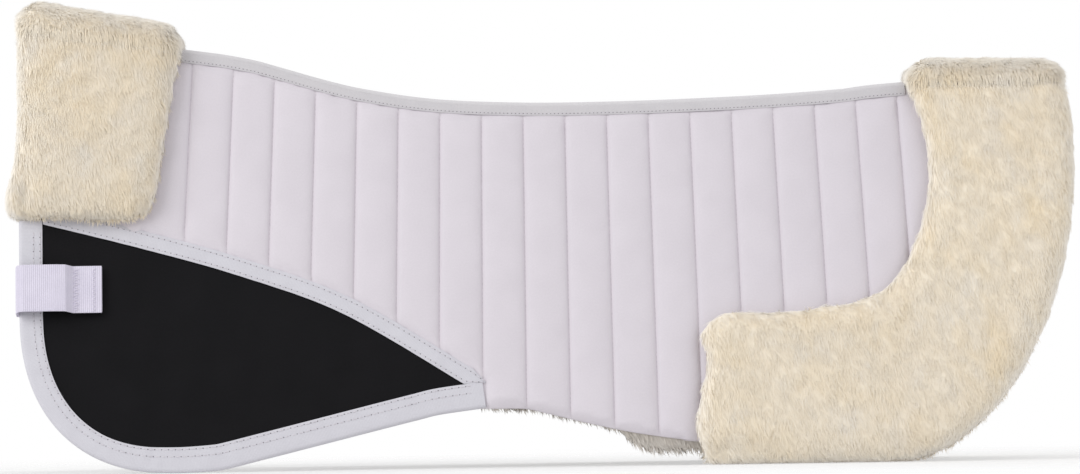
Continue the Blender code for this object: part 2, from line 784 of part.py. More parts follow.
def ordered_free(loop):
    """The edge of a trim from one end of the spine round to the other, leaving the spine out."""
    count = len(loop)
    start = next(i for i in range(count) if on_spine(loop[i]) and not on_spine(loop[(i + 1) % count]))
    turned = loop[start:] + loop[:start]
    stop = next(i for i in range(1, count) if on_spine(turned[i]))
    return turned[: stop + 1]


def make_spine_tapes():
    """Tape over the spine with a facing under it, both bent over the top edges of the halves."""
    start = FRONT_TRIM_X + 0.0030
    stop = REAR_TRIM_X - 0.0005
    count = 22
    outer_rings, facing_rings = [], []
    for i in range(count + 1):
        x = start + (stop - start) * i / count
        z = spine_height(x)
        leg_depth = EDGE_TOP + LAYER_GAP
        low_out = place(x, z - SPINE_TAPE_LEG, leg_depth + TAPE_THICKNESS)
        low_in = place(x, z - SPINE_TAPE_LEG, leg_depth)
        corner = place(x, z + LAYER_GAP, leg_depth + TAPE_THICKNESS)
        outer_rings.append(tape_ring(x, corner, low_out, low_in, 0.0, TAPE_THICKNESS, 0.0))
        drop = TAPE_THICKNESS + LAYER_GAP
        facing_rings.append(tape_ring(x, corner, None, None, drop, TAPE_THICKNESS * 0.8, 32.0))
    for name, rings in (("spine_tape", outer_rings), ("spine_facing", facing_rings)):
        bm = bmesh.new()
        join_rings(bm, [[bm.verts.new(p) for p in ring] for ring in rings])
        finish(name, bm, "white_tape", SPINE_BODY)


def tape_ring(x, corner, low_out, low_in, below, thickness, first_angle):
    """A closed cross-section of a tape bent over the spine, symmetrical about the middle."""
    steps = 4
    outer, inner = [], []
    for i in range(steps + 1):
        angle = math.radians(first_angle + (90 - first_angle) * i / steps)
        for skin, depth in ((outer, below), (inner, below + thickness)):
            y = (corner.y + depth) * math.cos(angle)
            z = corner.z + (SPINE_TAPE_RISE - depth) * math.sin(angle)
            skin.append(Vector((x, y, z)))
    if low_out:
        outer.insert(0, low_out)
        inner.insert(0, low_in)
    mirrored_outer = [Vector((p.x, -p.y, p.z)) for p in outer[:-1]]
    mirrored_inner = [Vector((p.x, -p.y, p.z)) for p in inner[:-1]]
    return outer + mirrored_outer[::-1] + mirrored_inner + inner[::-1]


def make_crest(name, x_front, x_rear, rises, round_edges):
    """Fur over the spine between the two trims of one end, rounded at its ends."""
    count = 10
    rings = []
    for i in range(count + 1):
        x = x_front + (x_rear - x_front) * i / count
        z = spine_height(x)
        p = (x, z)
        share = crown(max(min(x - x_front, x_rear - x), 0.0) + 0.0008)
        depth = TRIM_OUT - (TRIM_PILE + 0.0020) * (1 - crown(line_distance(p, round_edges)))
        corner = place(x, z + LAYER_GAP, depth)
        middle = place(x, z + LAYER_GAP, LINING_IN)
        full = rises[0] + (rises[1] - rises[0]) * i / count
        rise = full * (CREST_END_SHARE + (1 - CREST_END_SHARE) * share)
        top = []
        for k in range(6):
            angle = math.radians(90 * k / 5)
            top.append(Vector((x, corner.y * math.cos(angle), corner.z + rise * math.sin(angle))))
        half = top[:-1]
        other = [Vector((q.x, -q.y, q.z)) for q in half]
        under = [Vector((x, -middle.y, middle.z)), Vector((x, middle.y, middle.z))]
        rings.append(half + [top[-1]] + other[::-1] + under)
    bm = bmesh.new()
    join_rings(bm, [[bm.verts.new(q) for q in ring] for ring in rings])
    finish(name, bm, "cream_fur", SPINE_BODY)


def make_crests():
    front = ordered_free(front_trim_outline())
    make_crest("front_crest", FRONT_X - TRIM_OVERHANG + 0.0006, FRONT_TRIM_X, FRONT_CREST_RISE, front)
    rear = ordered_free(rear_trim_outline())
    make_crest("rear_crest", REAR_TRIM_X + 0.0020, REAR_X - 0.0050, REAR_CREST_RISE, rear)


def strap_profile():
    """The strap's inner face from its end round the front edge, as places along X and depths."""
    patch_top = FLAP_OUT + 3 * LAYER_GAP + 2 * PATCH_THICKNESS
    slot_top = BINDING_OUT + STRAP_SLOT
    front = STRAP_FRONT_X
    flat = STRAP_END_X - PATCH_LENGTH
    line = [(STRAP_END_X, patch_top), (flat, patch_top), (flat - 0.0050, slot_top - 0.0006)]
    line += [(flat - 0.0110, slot_top), (front + 0.0035, slot_top), (front + 0.0006, slot_top - 0.0015)]
    return line + [(front, slot_top - 0.0050), (front, PIVOT_DEPTH)]


def strap_hinge_end(count=4):
    """The round end of the strap's section, on its joint axis at the front edge."""
    reach = STRAP_THICKNESS / 2
    centre = STRAP_FRONT_X - reach
    angles = [math.pi * i / count for i in range(1, count)]
    return [(centre + reach * math.cos(a), PIVOT_DEPTH - reach * math.sin(a)) for a in angles]


def make_straps():
    """Touch-close strap, its two patches and its sewn end behind the flap."""
    inner = strap_profile()
    outer = shifted(inner, -STRAP_THICKNESS)
    section = inner + strap_hinge_end() + outer[::-1]
    half = STRAP_WIDTH / 2
    for side, word in SIDES:
        pivot_at = place(STRAP_FRONT_X - STRAP_THICKNESS / 2, STRAP_Z, PIVOT_DEPTH, side)
        up = place(FRONT_X, STRAP_Z + half, 0.0, side) - place(FRONT_X, STRAP_Z - half, 0.0, side)
        pivot = empty(f"{word}_strap_pivot", pivot_at, up * side, FOLDS[word])
        strip(f"{word}_strap", section, half, side, "white_webbing", pivot)
        hook_depth = inner[0][1] - LAYER_GAP - PATCH_THICKNESS
        hook = box_profile(STRAP_END_X - PATCH_LENGTH + 0.0010, STRAP_END_X - 0.0006, hook_depth)
        strip(f"{word}_hook_patch", hook, half - 0.0008, side, "hook_tape", pivot)
        pile = box_profile(STRAP_END_X - PATCH_LENGTH, STRAP_END_X, FLAP_OUT + LAYER_GAP)
        strip(f"{word}_loop_patch", pile, half, side, "loop_pile", FOLDS[word])
        front = STRAP_FRONT_X - STRAP_THICKNESS
        sewn = [
            (front, BINDING_IN - RUNNING_GAP / 3),
            (STRAP_FRONT_X - LAYER_GAP, BINDING_IN - RUNNING_GAP / 3),
            (STRAP_FRONT_X + STRAP_EASE / 2, BASE_OUT),
            (STRAP_BACK_X, BASE_OUT),
            (STRAP_BACK_X, BASE_OUT - STRAP_THICKNESS),
            (front + 0.0012, BASE_OUT - STRAP_THICKNESS),
        ]
        strip(f"{word}_strap_base", sewn, half, side, "white_webbing", FOLDS[word])


def box_profile(x0, x1, depth):
    return [(x0, depth), (x1, depth), (x1, depth + PATCH_THICKNESS), (x0, depth + PATCH_THICKNESS)]


def strip(name, profile, half_width, side, finish_name, parent):
    """A band of constant width up the flap, with the given cross-section."""
    bm = bmesh.new()
    rings = []
    for z in (STRAP_Z - half_width, STRAP_Z + half_width):
        rings.append([bm.verts.new(place(x, z, depth, side)) for x, depth in profile])
    join_rings(bm, rings)
    finish(name, bm, finish_name, parent)


make_quilt()
make_flap()
make_trims()
make_spine_tapes()
make_crests()
make_straps()
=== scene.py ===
"""Looks of the faux fur saddle pad: fur, quilted cotton, flaps, tapes and webbing.

The left half is made in detail and mirrored for the right one. A flat place is (x, z) as seen
from the side, and depth is counted out from the fold plane, as in the solids. Lengths in metres.
"""
import json
import math

import bmesh
import bpy
import numpy as np
from mathutils import Matrix, Vector
from mathutils.bvhtree import BVHTree
from mathutils.geometry import delaunay_2d_cdt, tessellate_polygon


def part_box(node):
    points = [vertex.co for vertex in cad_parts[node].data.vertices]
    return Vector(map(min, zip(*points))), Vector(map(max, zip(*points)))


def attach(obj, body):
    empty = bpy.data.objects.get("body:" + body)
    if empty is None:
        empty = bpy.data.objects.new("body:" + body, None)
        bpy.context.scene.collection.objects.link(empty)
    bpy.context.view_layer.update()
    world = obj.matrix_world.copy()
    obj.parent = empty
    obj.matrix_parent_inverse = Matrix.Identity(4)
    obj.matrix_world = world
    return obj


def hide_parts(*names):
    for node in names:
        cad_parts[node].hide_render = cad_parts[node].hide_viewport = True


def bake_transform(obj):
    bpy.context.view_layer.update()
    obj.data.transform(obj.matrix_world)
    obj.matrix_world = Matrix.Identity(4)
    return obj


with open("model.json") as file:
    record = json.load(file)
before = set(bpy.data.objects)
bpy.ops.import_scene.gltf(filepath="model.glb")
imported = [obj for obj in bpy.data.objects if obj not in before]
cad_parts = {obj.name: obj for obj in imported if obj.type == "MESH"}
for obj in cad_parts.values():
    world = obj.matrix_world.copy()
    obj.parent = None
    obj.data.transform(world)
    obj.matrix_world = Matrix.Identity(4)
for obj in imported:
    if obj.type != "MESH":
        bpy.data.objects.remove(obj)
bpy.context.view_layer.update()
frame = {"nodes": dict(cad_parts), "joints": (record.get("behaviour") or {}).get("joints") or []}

# The fold, and how a half leans and bellies
FOLD = next(joint for joint in frame["joints"] if joint["name"] == "left_fold")
AXIS_HEIGHT = FOLD["pos_m"][2]
AXIS_FALL = -FOLD["axis"][2] / FOLD["axis"][0]
HALF_ANGLE = 14.0
LEAN = math.tan(math.radians(HALF_ANGLE))
OUTWARD = np.array(Vector((LEAN * AXIS_FALL, -1.0, LEAN)).normalized())
DOWN = np.array(Vector((0.0, -LEAN, -1.0)).normalized())
BELLY = 0.009
PANEL_DROP = 0.30
BEND_DROPS = np.array((-0.050, 0.0, 0.050, 0.110, 0.180, 0.240, 0.300))
MIDDLE_DEPTH = 0.0150

# Depths of the layers
LAYER_GAP = 0.0004
WADDING_IN = 0.0120
EDGE_TOP = 0.0152
CORE_IN = 0.0200
CORE_OUT = 0.0246
TAPE_THICKNESS = 0.0010
BINDING_THICKNESS = 0.0008
BINDING_IN = 0.0118
FLAP_THICKNESS = 0.0012
BACKING_THICKNESS = 0.0006
SPINE_TAPE_LEG = 0.0048
SPINE_TAPE_RISE = 0.0034

# Quilting: seams at one pitch, fanning out downwards
CHANNEL_PITCH = 0.0269
CHANNEL_START = -0.1988
CHANNEL_FIRST = -1
CHANNEL_LAST = 16
CHANNEL_FAN = 0.24
CHANNEL_LEVEL = 0.2035
CHANNEL_HEIGHT = 0.0027
SEAM_RISE = 0.10
GROOVE = 0.0019
ROUNDNESS = 0.40
PUCKERS = 0.00022
UNEVENNESS = 0.00016
GATHERS = 0.00035
CREASE_DEPTH = 0.0011
CREASE_WIDTH = 0.0016
QUILT_ROW = 0.0034

# The quilt lies low under the tapes, from these gaps on, and at its hem
UNDER_SPINE = 0.0052
UNDER_SEAM = 0.0072
TIP_TOP = 0.0560
HEM_WIDTH = 0.0042
HEM_DROP = 0.0016

# Strap
STRAP_Z = 0.1170
STRAP_WIDTH = 0.0298

# Fur: length and width of a lock of fibres, how far the skin lies below the tips, and a lock's
# lean and bend in degrees
TRIM_FUR = (0.0076, 0.00036, 0.0008, 75, 9)
LINING_FUR = (0.0074, 0.0007, 0.0036, 63, 11)
LUMP = 0.00035
STANDING = 0.03
ROOT_DEPTH = 0.0006
FLOOR_GAP = 0.0003
SWAY = 0.24
SCATTER = 0.11
FRINGE_REACH = 0.0026
COVER_REACH = 0.0025

# Sewing
STITCH = 0.0026
STITCH_GAP = 0.0012
THREAD = 0.00030
FINE_THREAD = 0.00022

# Meshes: steps along outlines and cross-sections, and the turn in degrees that is a corner
EDGE_STEP = 0.003
SECTION_STEP = 0.00033
CORNER = 35.0

# The photograph: metres per pixel, its width in pixels, and how far it is turned
PHOTO_SCALE = 0.00064
PHOTO_WIDTH = 1080
PHOTO_TURN = math.atan(10 / 640)
PHOTO_CENTRE = (-0.00068, -0.062, 0.14712)
LENS = 400.0

# Light: strength of the surroundings, and of each lamp in watts
WORLD_LIGHT = 0.68
KEY_LIGHT = 62.0
FILL_LIGHT = 12.0
BACK_LIGHT = 20.0
LIT_PLACE = (0, 0, 0.12)


def belly(drop):
    return BELLY * np.sin(np.pi * np.clip(drop / PANEL_DROP, -0.2, 1.0))


DROPS = np.linspace(-0.06, 0.36, 841)
SEEN_DROPS = DROPS - belly(DROPS) * OUTWARD[2]


def place(x, z, depth):
    """Points of the left half from flat places and depths."""
    x, z, depth = np.broadcast_arrays(*(np.asarray(v, float).ravel() for v in (x, z, depth)))
    x = x - MIDDLE_DEPTH * OUTWARD[0]
    height = AXIS_HEIGHT - AXIS_FALL * x
    drop = np.interp(height - z + MIDDLE_DEPTH * OUTWARD[2], SEEN_DROPS, DROPS)
    return np.stack((x, -LEAN * drop, height - drop), 1) + OUTWARD * (depth + belly(drop))[:, None]


def flat(points):
    """Flat places and depths of points of the solids, which bend in straight steps."""
    out = (points - (0, 0, AXIS_HEIGHT)) @ OUTWARD
    foot = points - OUTWARD * out[:, None]
    drop = AXIS_HEIGHT - AXIS_FALL * foot[:, 0] - foot[:, 2]
    bow = np.interp(drop, BEND_DROPS, belly(BEND_DROPS))
    x = foot[:, 0] + MIDDLE_DEPTH * OUTWARD[0]
    z = foot[:, 2] + (MIDDLE_DEPTH + bow) * OUTWARD[2]
    return np.stack((x, z, out - bow), 1)


def rims(solid, toward, least):
    """Closed edges of a solid's faces that look one way, as flat places and depths."""
    mesh = frame["nodes"][solid].data
    number, faces = {}, []
    for face in mesh.polygons:
        if face.normal.dot(Vector(toward)) > least:
            keys = [tuple(round(c, 5) for c in mesh.vertices[i].co) for i in face.vertices]
            faces.append([number.setdefault(key, len(number)) for key in keys])
    sides = {(a, b) for face in faces for a, b in zip(face, face[1:] + face[:1])}
    after = {a: b for a, b in sides if (b, a) not in sides}
    places = flat(np.array(list(number)))
    found = []
    while after:
        rim = [min(after)]
        while after[rim[-1]] != rim[0]:
            rim.append(after[rim[-1]])
        for i in rim:
            del after[i]
        found.append(places[rim])
    return found


def outer_rim(solid):
    return max(rims(solid, OUTWARD, 0.3), key=lambda rim: rim[:, 2].mean())


def leftward(loop):
    """The same closed line, counter-clockwise."""
    return loop if area_of(loop) > 0 else loop[::-1]


def outline(solid):
    """The edge of the outer face of a left-hand layer as flat places."""
    return leftward(outer_rim(solid)[:, :2])


def section(solid):
    """The cross-section of a left-hand band, along X and in depth, its corners eased."""
    loop = max(rims(solid, DOWN, 0.9), key=len)[:, (0, 2)]
    loop = np.vstack((loop, loop[:1]))
    loop = spaced(loop, round(runs_of(loop)[-1] / SECTION_STEP))[:-1]
    for _ in range(3):
        loop = (np.roll(loop, 1, 0) + 2 * loop + np.roll(loop, -1, 0)) / 4
    return leftward(loop)


def area_of(loop):
    x, z = loop.T
    return 0.5 * float(np.sum(x * np.roll(z, -1) - np.roll(x, -1) * z))


def turns(loop):
    """How sharply a closed outline turns at each of its points, in degrees."""
    before = loop - np.roll(loop, 1, 0)
    after = np.roll(loop, -1, 0) - loop
    cross = before[:, 0] * after[:, 1] - before[:, 1] * after[:, 0]
    return np.degrees(np.abs(np.arctan2(cross, np.sum(before * after, 1))))


def smooth(path, step, closed=False):
    """A smooth line through a path's points, a step apart, that keeps sharp corners."""
    count = len(path)
    turn = turns(path) if closed else np.zeros(count)
    found = []
    for i in range(count if closed else count - 1):
        b, c = path[i], path[(i + 1) % count]
        a = path[i - 1] if (closed or 0 < i) and turn[i] < CORNER else b
        onward = closed or i + 2 < count
        d = path[(i + 2) % count] if onward and turn[(i + 1) % count] < CORNER else c
        parts = max(1, round(np.linalg.norm(c - b) / step))
        for u in np.arange(parts) / parts:
            bend = 2 * a - 5 * b + 4 * c - d
            found.append(b + 0.5 * ((c - a) * u + bend * u**2 + (3 * b - a - 3 * c + d) * u**3))
    return np.array(found if closed else found + [path[-1]])


def runs_of(path):
    """Distance along a path at each of its points."""
    return np.concatenate(([0.0], np.cumsum(np.linalg.norm(np.diff(path, axis=0), axis=1))))


def at_runs(path, runs):
    """Points of a path at the given distances along it."""
    along = runs_of(path)
    return np.stack([np.interp(runs, along, path[:, k]) for k in range(path.shape[1])], 1)


def spaced(path, count):
    """A number of points at even steps along a path, with both ends."""
    return at_runs(path, np.linspace(0, runs_of(path)[-1], count))


def band_sides(solid, step):
    """The two long sides of a narrow band as smooth paths, abreast, the longer one first."""
    loop = outline(solid)
    ends = sorted(np.argsort(turns(loop))[-4:])
    sides = []
    for first, last in zip(ends, ends[1:] + [ends[0] + len(loop)]):
        sides.append(loop[np.arange(first, last + 1) % len(loop)])
    sides.sort(key=lambda side: runs_of(side)[-1])
    longer, shorter = smooth(sides[3], step), smooth(sides[2][::-1], step)
    count = round(runs_of(longer)[-1] / step)
    return spaced(longer, count), spaced(shorter, count)


def path_gap(points, path):
    """Distance from each point to a path."""
    best = np.full(len(points), np.inf)
    for a, b in zip(path, path[1:]):
        way = b - a
        u = np.clip((points - a) @ way / max(way @ way, 1e-18), 0, 1)
        best = np.minimum(best, np.linalg.norm(points - (a + u[:, None] * way), axis=1))
    return best


def edge_gap(points, loop):
    """Distance from each flat place to a closed outline."""
    return path_gap(points, np.vstack((loop, loop[:1])))


def left_of(path):
    """Directions square to a path, to its left."""
    way = unit(np.gradient(path, axis=0))
    return np.stack((-way[:, 1], way[:, 0]), 1)


def within(points, loop):
    x, z = points.T
    found = np.zeros(len(points), bool)
    for (x0, z0), (x1, z1) in zip(loop, np.roll(loop, -1, 0)):
        if z0 != z1:
            crosses = (z0 > z) != (z1 > z)
            found ^= crosses & (x < (x1 - x0) * (z - z0) / (z1 - z0) + x0)
    return found


def noise(points, size, seed):
    """Smooth noise of about -1 to 1 at each point, with lumps of a size."""
    rng = np.random.default_rng(seed)
    total = np.zeros(len(points))
    for _ in range(7):
        way = rng.normal(size=points.shape[1])
        way *= 2 * np.pi / size * rng.uniform(0.6, 1.5) / np.linalg.norm(way)
        total += np.sin(points @ way + rng.uniform(0, 2 * np.pi))
    return total / 3.2


def kept_inside(spots, loop, clear):
    spots = spots[within(spots, loop)]
    return spots[edge_gap(spots, loop) > clear]


def field(loop, step, clear):
    """Places in staggered rows inside an outline, kept clear of its edge."""
    low, high = loop.min(0), loop.max(0)
    rows = []
    for i, z in enumerate(np.arange(low[1], high[1], step * math.sqrt(3) / 2)):
        xs = np.arange(low[0] + (step / 2 if i % 2 else 0), high[0], step)
        rows.append(np.stack((xs, np.full(len(xs), z)), 1))
    return kept_inside(np.vstack(rows), loop, clear)


def fill(loop, points):
    """Triangles of an outline that use the given inner points."""
    every = np.vstack((loop, points))
    edges = [(i, (i + 1) % len(loop)) for i in range(len(loop))]
    found = delaunay_2d_cdt([Vector(p) for p in every], edges, [], 0, 1e-6)
    places = np.array([tuple(p) for p in found[0]])
    faces = np.array([face for face in found[2] if len(face) == 3], int)
    faces = faces[within(places[faces].mean(1), loop)]
    used, faces = np.unique(faces, return_inverse=True)
    return places[used], faces.reshape(-1, 3)


def facing_out(points, triangles):
    """The same closed mesh with its faces looking out."""
    a, b, c = points[triangles.T]
    volume = np.sum(a * np.cross(b, c))
    return points, triangles if volume > 0 else triangles[:, ::-1]


def slab(loop, points, top, bottom):
    """A closed layer: its points and triangles, and its places on the cloth."""
    places, faces = fill(loop, points)
    upper = place(*places.T, top(places))
    under, under_faces = fill(loop, field(loop, 0.03, 0.015))
    lower = place(*under.T, bottom(under))
    pairs = [[np.argmin(np.sum((side - spot) ** 2, 1)) for side in (places, under)] for spot in loop]
    a, b = np.array(pairs).T + np.array([[0], [len(upper)]])
    a1, b1 = np.roll(a, -1), np.roll(b, -1)
    walls = np.vstack((np.stack((b, a, b1), 1), np.stack((b1, a, a1), 1)))
    triangles = np.vstack((faces, under_faces[:, ::-1] + len(upper), walls))
    return *facing_out(np.vstack((upper, lower)), triangles), on_cloth(*np.vstack((places, under)).T)


def on_cloth(along, across):
    """Places on a cloth for its weave, and a third value of 0 that the quilt sets to its share of painted
    shade in the grooves where it is sewn down.
    """
    along, across = np.broadcast_arrays(along, across)
    return np.stack((along, across, np.zeros(len(across))), 1)


def walls_between(rings, count):
    """Triangles between a number of rings, which have a count of points each."""
    a = np.arange(count)
    b = (a + 1) % count
    one = np.vstack((np.stack((a, b, b + count), 1), np.stack((a, b + count, a + count), 1)))
    return np.vstack([one + k * count for k in range(rings - 1)])


def tube(rings, cloth):
    """A closed tube through rings of as many points each, and its places on the cloth."""
    count = len(rings[0])
    points = np.vstack(rings)
    caps = end_cap(rings[0])[:, ::-1], end_cap(rings[-1]) + len(points) - count
    return *facing_out(points, np.vstack((walls_between(len(rings), count), *caps))), np.vstack(cloth)


def face_vectors(points, triangles):
    """Vectors square to the triangles, twice as long as their areas."""
    a, b, c = points[triangles.T]
    return np.cross(b - a, c - a)


def end_cap(ring):
    """Triangles that close a flat ring, which may be hollow, turning as the ring does."""
    faces = np.array(tessellate_polygon([[Vector(p) for p in ring]]))
    square = np.cross(ring, np.roll(ring, -1, 0)).sum(0)
    return faces if face_vectors(ring, faces).sum(0) @ square > 0 else faces[:, ::-1]


def joined(*shapes):
    """One shape from several."""
    starts = np.cumsum([0] + [len(points) for points, _ in shapes])
    triangles = [faces + start for (_, faces), start in zip(shapes, starts)]
    return np.vstack([points for points, _ in shapes]), np.vstack(triangles)


def unit(vectors):
    return vectors / np.maximum(np.linalg.norm(vectors, axis=1), 1e-20)[:, None]


def new_mesh(name, points, triangles, normals=None, uv=None, **values):
    mesh = bpy.data.meshes.new(name)
    mesh.from_pydata(points.tolist(), [], triangles.tolist(), shade_flat=False)
    for key, vectors in values.items():
        layer = mesh.attributes.new(key, "FLOAT_VECTOR", "POINT")
        layer.data.foreach_set("vector", np.float32(vectors).ravel())
    if uv is not None:
        layer = mesh.uv_layers.new(name="OFBake")
        layer.data.foreach_set("uv", np.float32(uv)[triangles.ravel()].ravel())
    if normals is not None:
        mesh.normals_split_custom_set_from_vertices(normals.tolist())
    else:
        mesh.set_sharp_from_angle(angle=math.radians(50))
    return mesh


def in_scene(name, data):
    made = bpy.data.objects.new(name, data)
    bpy.context.scene.collection.objects.link(made)
    return made


def both(name, shape, stuff, slot, body="half", nodes=(), normals=None, **values):
    """A piece on the left and its mirror image on the right.

    It rides with a body of its own half, or, given two places along Y, it keeps no body.
    """
    points, triangles, *cloth = shape
    if cloth:
        values["cloth"] = cloth[0]
    made = []
    for word, sign in (("left", 1.0), ("right", -1.0)):
        mirror = np.array((1.0, sign, 1.0))
        faces = triangles if sign > 0 else triangles[:, ::-1]
        bent = None if normals is None else normals * mirror
        mesh = new_mesh(f"{word}_{name}", points * mirror, faces, bent, **values)
        mesh.materials.append(stuff)
        piece = in_scene(f"{word}_{name}", mesh)
        if isinstance(body, tuple):
            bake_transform(piece)
        else:
            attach(piece, f"{word}_{body}")
        if nodes:
            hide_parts(*(n if n in frame["nodes"] else f"{word}_{n}" for n in nodes))
        made.append(piece)
    return made


def linear(srgb):
    """A colour as a screen shows it, 0 to 255, as the shader wants it."""
    values = [c / 255 for c in srgb]
    return tuple(c / 12.92 if c <= 0.04045 else ((c + 0.055) / 1.055) ** 2.4 for c in values) + (1.0,)


def connect(socket, value):
    if isinstance(value, bpy.types.NodeSocket):
        socket.id_data.links.new(value, socket)
    elif value is not None:
        socket.default_value = value


def given(made, **values):
    """Values or other nodes' outputs for the named inputs of a node."""
    for key, value in values.items():
        connect(made.inputs[key.replace("_", " ")], value)


def node(tree, kind, *inputs, **settings):
    """A shader node, with its inputs given in order as values or other nodes' outputs."""
    made = tree.nodes.new("ShaderNode" + kind)
    for key, value in settings.items():
        setattr(made, key, value)
    for socket, value in zip(made.inputs, inputs):
        connect(socket, value)
    return made


def material(name, roughness, sheen=0.0):
    made = bpy.data.materials.new(name)
    made.use_nodes = True
    shader = made.node_tree.nodes["Principled BSDF"]
    given(shader, Roughness=roughness, Specular_IOR_Level=0.25, Sheen_Weight=sheen, Sheen_Roughness=0.5)
    return made, made.node_tree, shader


def bumped(tree, shader, strength, distance, height):
    bump = node(tree, "Bump")
    given(bump, Strength=strength, Distance=distance, Height=height)
    given(shader, Normal=bump.outputs[0])


def carried(tree, name):
    """A value that a mesh carries at its points, and its three parts."""
    whole = node(tree, "Attribute", attribute_name=name).outputs["Vector"]
    return whole, *node(tree, "SeparateXYZ", whole).outputs


def maths(tree, operation, *inputs):
    return node(tree, "Math", *inputs, operation=operation).outputs[0]


def mixed(tree, share, first, second):
    """Two colours mixed by a share: inputs 0, 6 and 7 of the node."""
    return node(tree, "Mix", share, *[None] * 5, first, second, data_type="RGBA").outputs[2]


def cloudy(tree, vector, size, low, high):
    """Soft noise of a size in metres, with low and high stretched to 0 and 1."""
    value = node(tree, "TexNoise", vector, None, 1.0 / size).outputs[0]
    return node(tree, "MapRange", value, low, high, 0.0, 1.0).outputs[0]


def summed(tree, total, *parts):
    """A value plus others, each times its share."""
    for value, share in parts:
        total = maths(tree, "MULTIPLY_ADD", value, share, total)
    return total


def waves(tree, coordinate, pitch):
    """Waves from 0 to 1 along one coordinate in metres."""
    wave = maths(tree, "SINE", maths(tree, "MULTIPLY", coordinate, 2 * math.pi / pitch))
    return summed(tree, 0.5, (wave, 0.5))


def woven(name, light, dark, roughness, pitch, relief, sheen=0.1, groove_shade=None):
    """Plain weave, blotched and darker between its threads as painted shade, with painted shade in the
    grooves where the cloth is sewn down.
    """
    made, tree, shader = material(name, roughness, sheen)
    where, along, across, sewn = carried(tree, "cloth")
    crossings = []
    for shift in (0.0, pitch / 2):
        pair = [waves(tree, maths(tree, "ADD", line, shift), pitch) for line in (along, across)]
        crossings.append(maths(tree, "MULTIPLY", *pair))
    weave = maths(tree, "MAXIMUM", *crossings)
    patchy = cloudy(tree, where, 0.03, 0.35, 0.65)
    fine = cloudy(tree, where, 0.0012, 0.3, 0.7)
    # Lower between the crossings of the threads, darker: painted shade
    shade = summed(tree, 0.25, (fine, 0.25), (weave, -0.25), (patchy, 0.25))
    colour = mixed(tree, shade, linear(light), linear(dark))
    # Painted shade in the quilting's grooves
    if groove_shade:
        colour = mixed(tree, sewn, colour, linear(groove_shade))
    rough = node(tree, "MapRange", fine, 0.0, 1.0, roughness - 0.06, roughness + 0.05).outputs[0]
    given(shader, Base_Color=colour, Roughness=rough)
    bumped(tree, shader, 0.6, relief, summed(tree, weave, (fine, 0.3)))
    return made


def ribbed(name, light, dark, roughness, pitch, relief):
    """Woven tape or webbing with ribs across it, and finer threads over them, darker between the ribs as
    painted shade.
    """
    made, tree, shader = material(name, roughness, 0.1)
    where, along, across, _ = carried(tree, "cloth")
    rib = waves(tree, along, pitch)
    strands = waves(tree, summed(tree, across, (rib, pitch / 3)), pitch * 0.7)
    fine = cloudy(tree, where, 0.0010, 0.3, 0.7)
    patchy = cloudy(tree, where, 0.012, 0.35, 0.65)
    # Darker between the ribs: painted shade
    shade = summed(tree, 0.4, (fine, 0.3), (rib, -0.45), (patchy, 0.2))
    given(shader, Base_Color=mixed(tree, shade, linear(light), linear(dark)))
    bumped(tree, shader, 0.7, relief, summed(tree, rib, (strands, 0.35), (fine, 0.2)))
    return made


def pelt(name, *colours):
    """Fur: darker at the roots as painted shade, paler where it turns away at the sides as painted light, in
    warm and pale patches, each lock with a tone of its own.
    """
    made, tree, shader = material(name, 0.9, 0.5)
    root, tip, warm, pale = (linear(colour) for colour in colours)
    where = carried(tree, "cloth")[0]
    _, share, tone, side_light = carried(tree, "lock")
    body = mixed(tree, cloudy(tree, where, 0.045, 0.40, 0.68), tip, warm)
    body = mixed(tree, cloudy(tree, where, 0.022, 0.45, 0.80), body, pale)
    # Paler where the fur turns away at the sides: painted light
    body = mixed(tree, side_light, body, pale)
    # Painted shade: the roots and the skin lean to the darker root colour
    colour = mixed(tree, share, root, body)
    toned = node(tree, "VectorMath", colour, operation="SCALE")
    given(toned, Scale=summed(tree, 0.975, (tone, 0.05)))
    given(shader, Base_Color=toned.outputs[0])
    return made


def plain(name, colour, roughness, size):
    """Thread, foam or pile: one colour with fine variation and a rough surface."""
    made, tree, shader = material(name, roughness)
    where = node(tree, "TexCoord").outputs["Object"]
    fine = cloudy(tree, where, size, 0.3, 0.7)
    colour = linear(colour)
    dark = tuple(c * 0.80 for c in colour[:3]) + (1.0,)
    given(shader, Base_Color=mixed(tree, fine, colour, dark))
    bumped(tree, shader, 0.5, size / 8, fine)
    return made


CREAM = pelt("cream_fur", (247, 237, 218), (253, 244, 228), (253, 239, 212), (250, 245, 237))
# The lining's fur is painted grey-brown: painted shade, as it lies in shade under the pad
SHADED_FUR = pelt("grey_fur", (203, 195, 185), (226, 221, 214), (219, 210, 198), (230, 227, 223))
# The quilted cotton gets painted shade in its grooves
COTTON = woven("quilted_cotton", (225, 219, 226), (213, 207, 214), 0.86, 0.0005, 0.00006,
               groove_shade=(211, 204, 211))
LINEN = woven("backing_cotton", (220, 216, 220), (203, 198, 203), 0.86, 0.0006, 0.00006)
# The black nylon's darker blotches are painted shade, standing in for the shade of its wrinkles
NYLON = woven("black_nylon", (18, 17, 20), (5, 5, 7), 0.55, 0.00042, 0.00005, 0.0)
given(NYLON.node_tree.nodes["Principled BSDF"], Specular_IOR_Level=0.10)
TAPE = ribbed("binding_tape", (218, 217, 224), (203, 201, 209), 0.74, 0.0009, 0.00010)
SPINE_TAPE = ribbed("spine_tape", (213, 210, 213), (196, 193, 197), 0.70, 0.0008, 0.00006)
WEBBING = ribbed("webbing", (229, 224, 239), (204, 199, 216), 0.66, 0.0013, 0.00016)
HOOKS = plain("hook_tape", (200, 200, 203), 0.6, 0.0007)
LOOPS = plain("loop_pile", (38, 37, 40), 0.95, 0.0009)
THREADS = plain("white_thread", (228, 224, 230), 0.6, 0.0006)
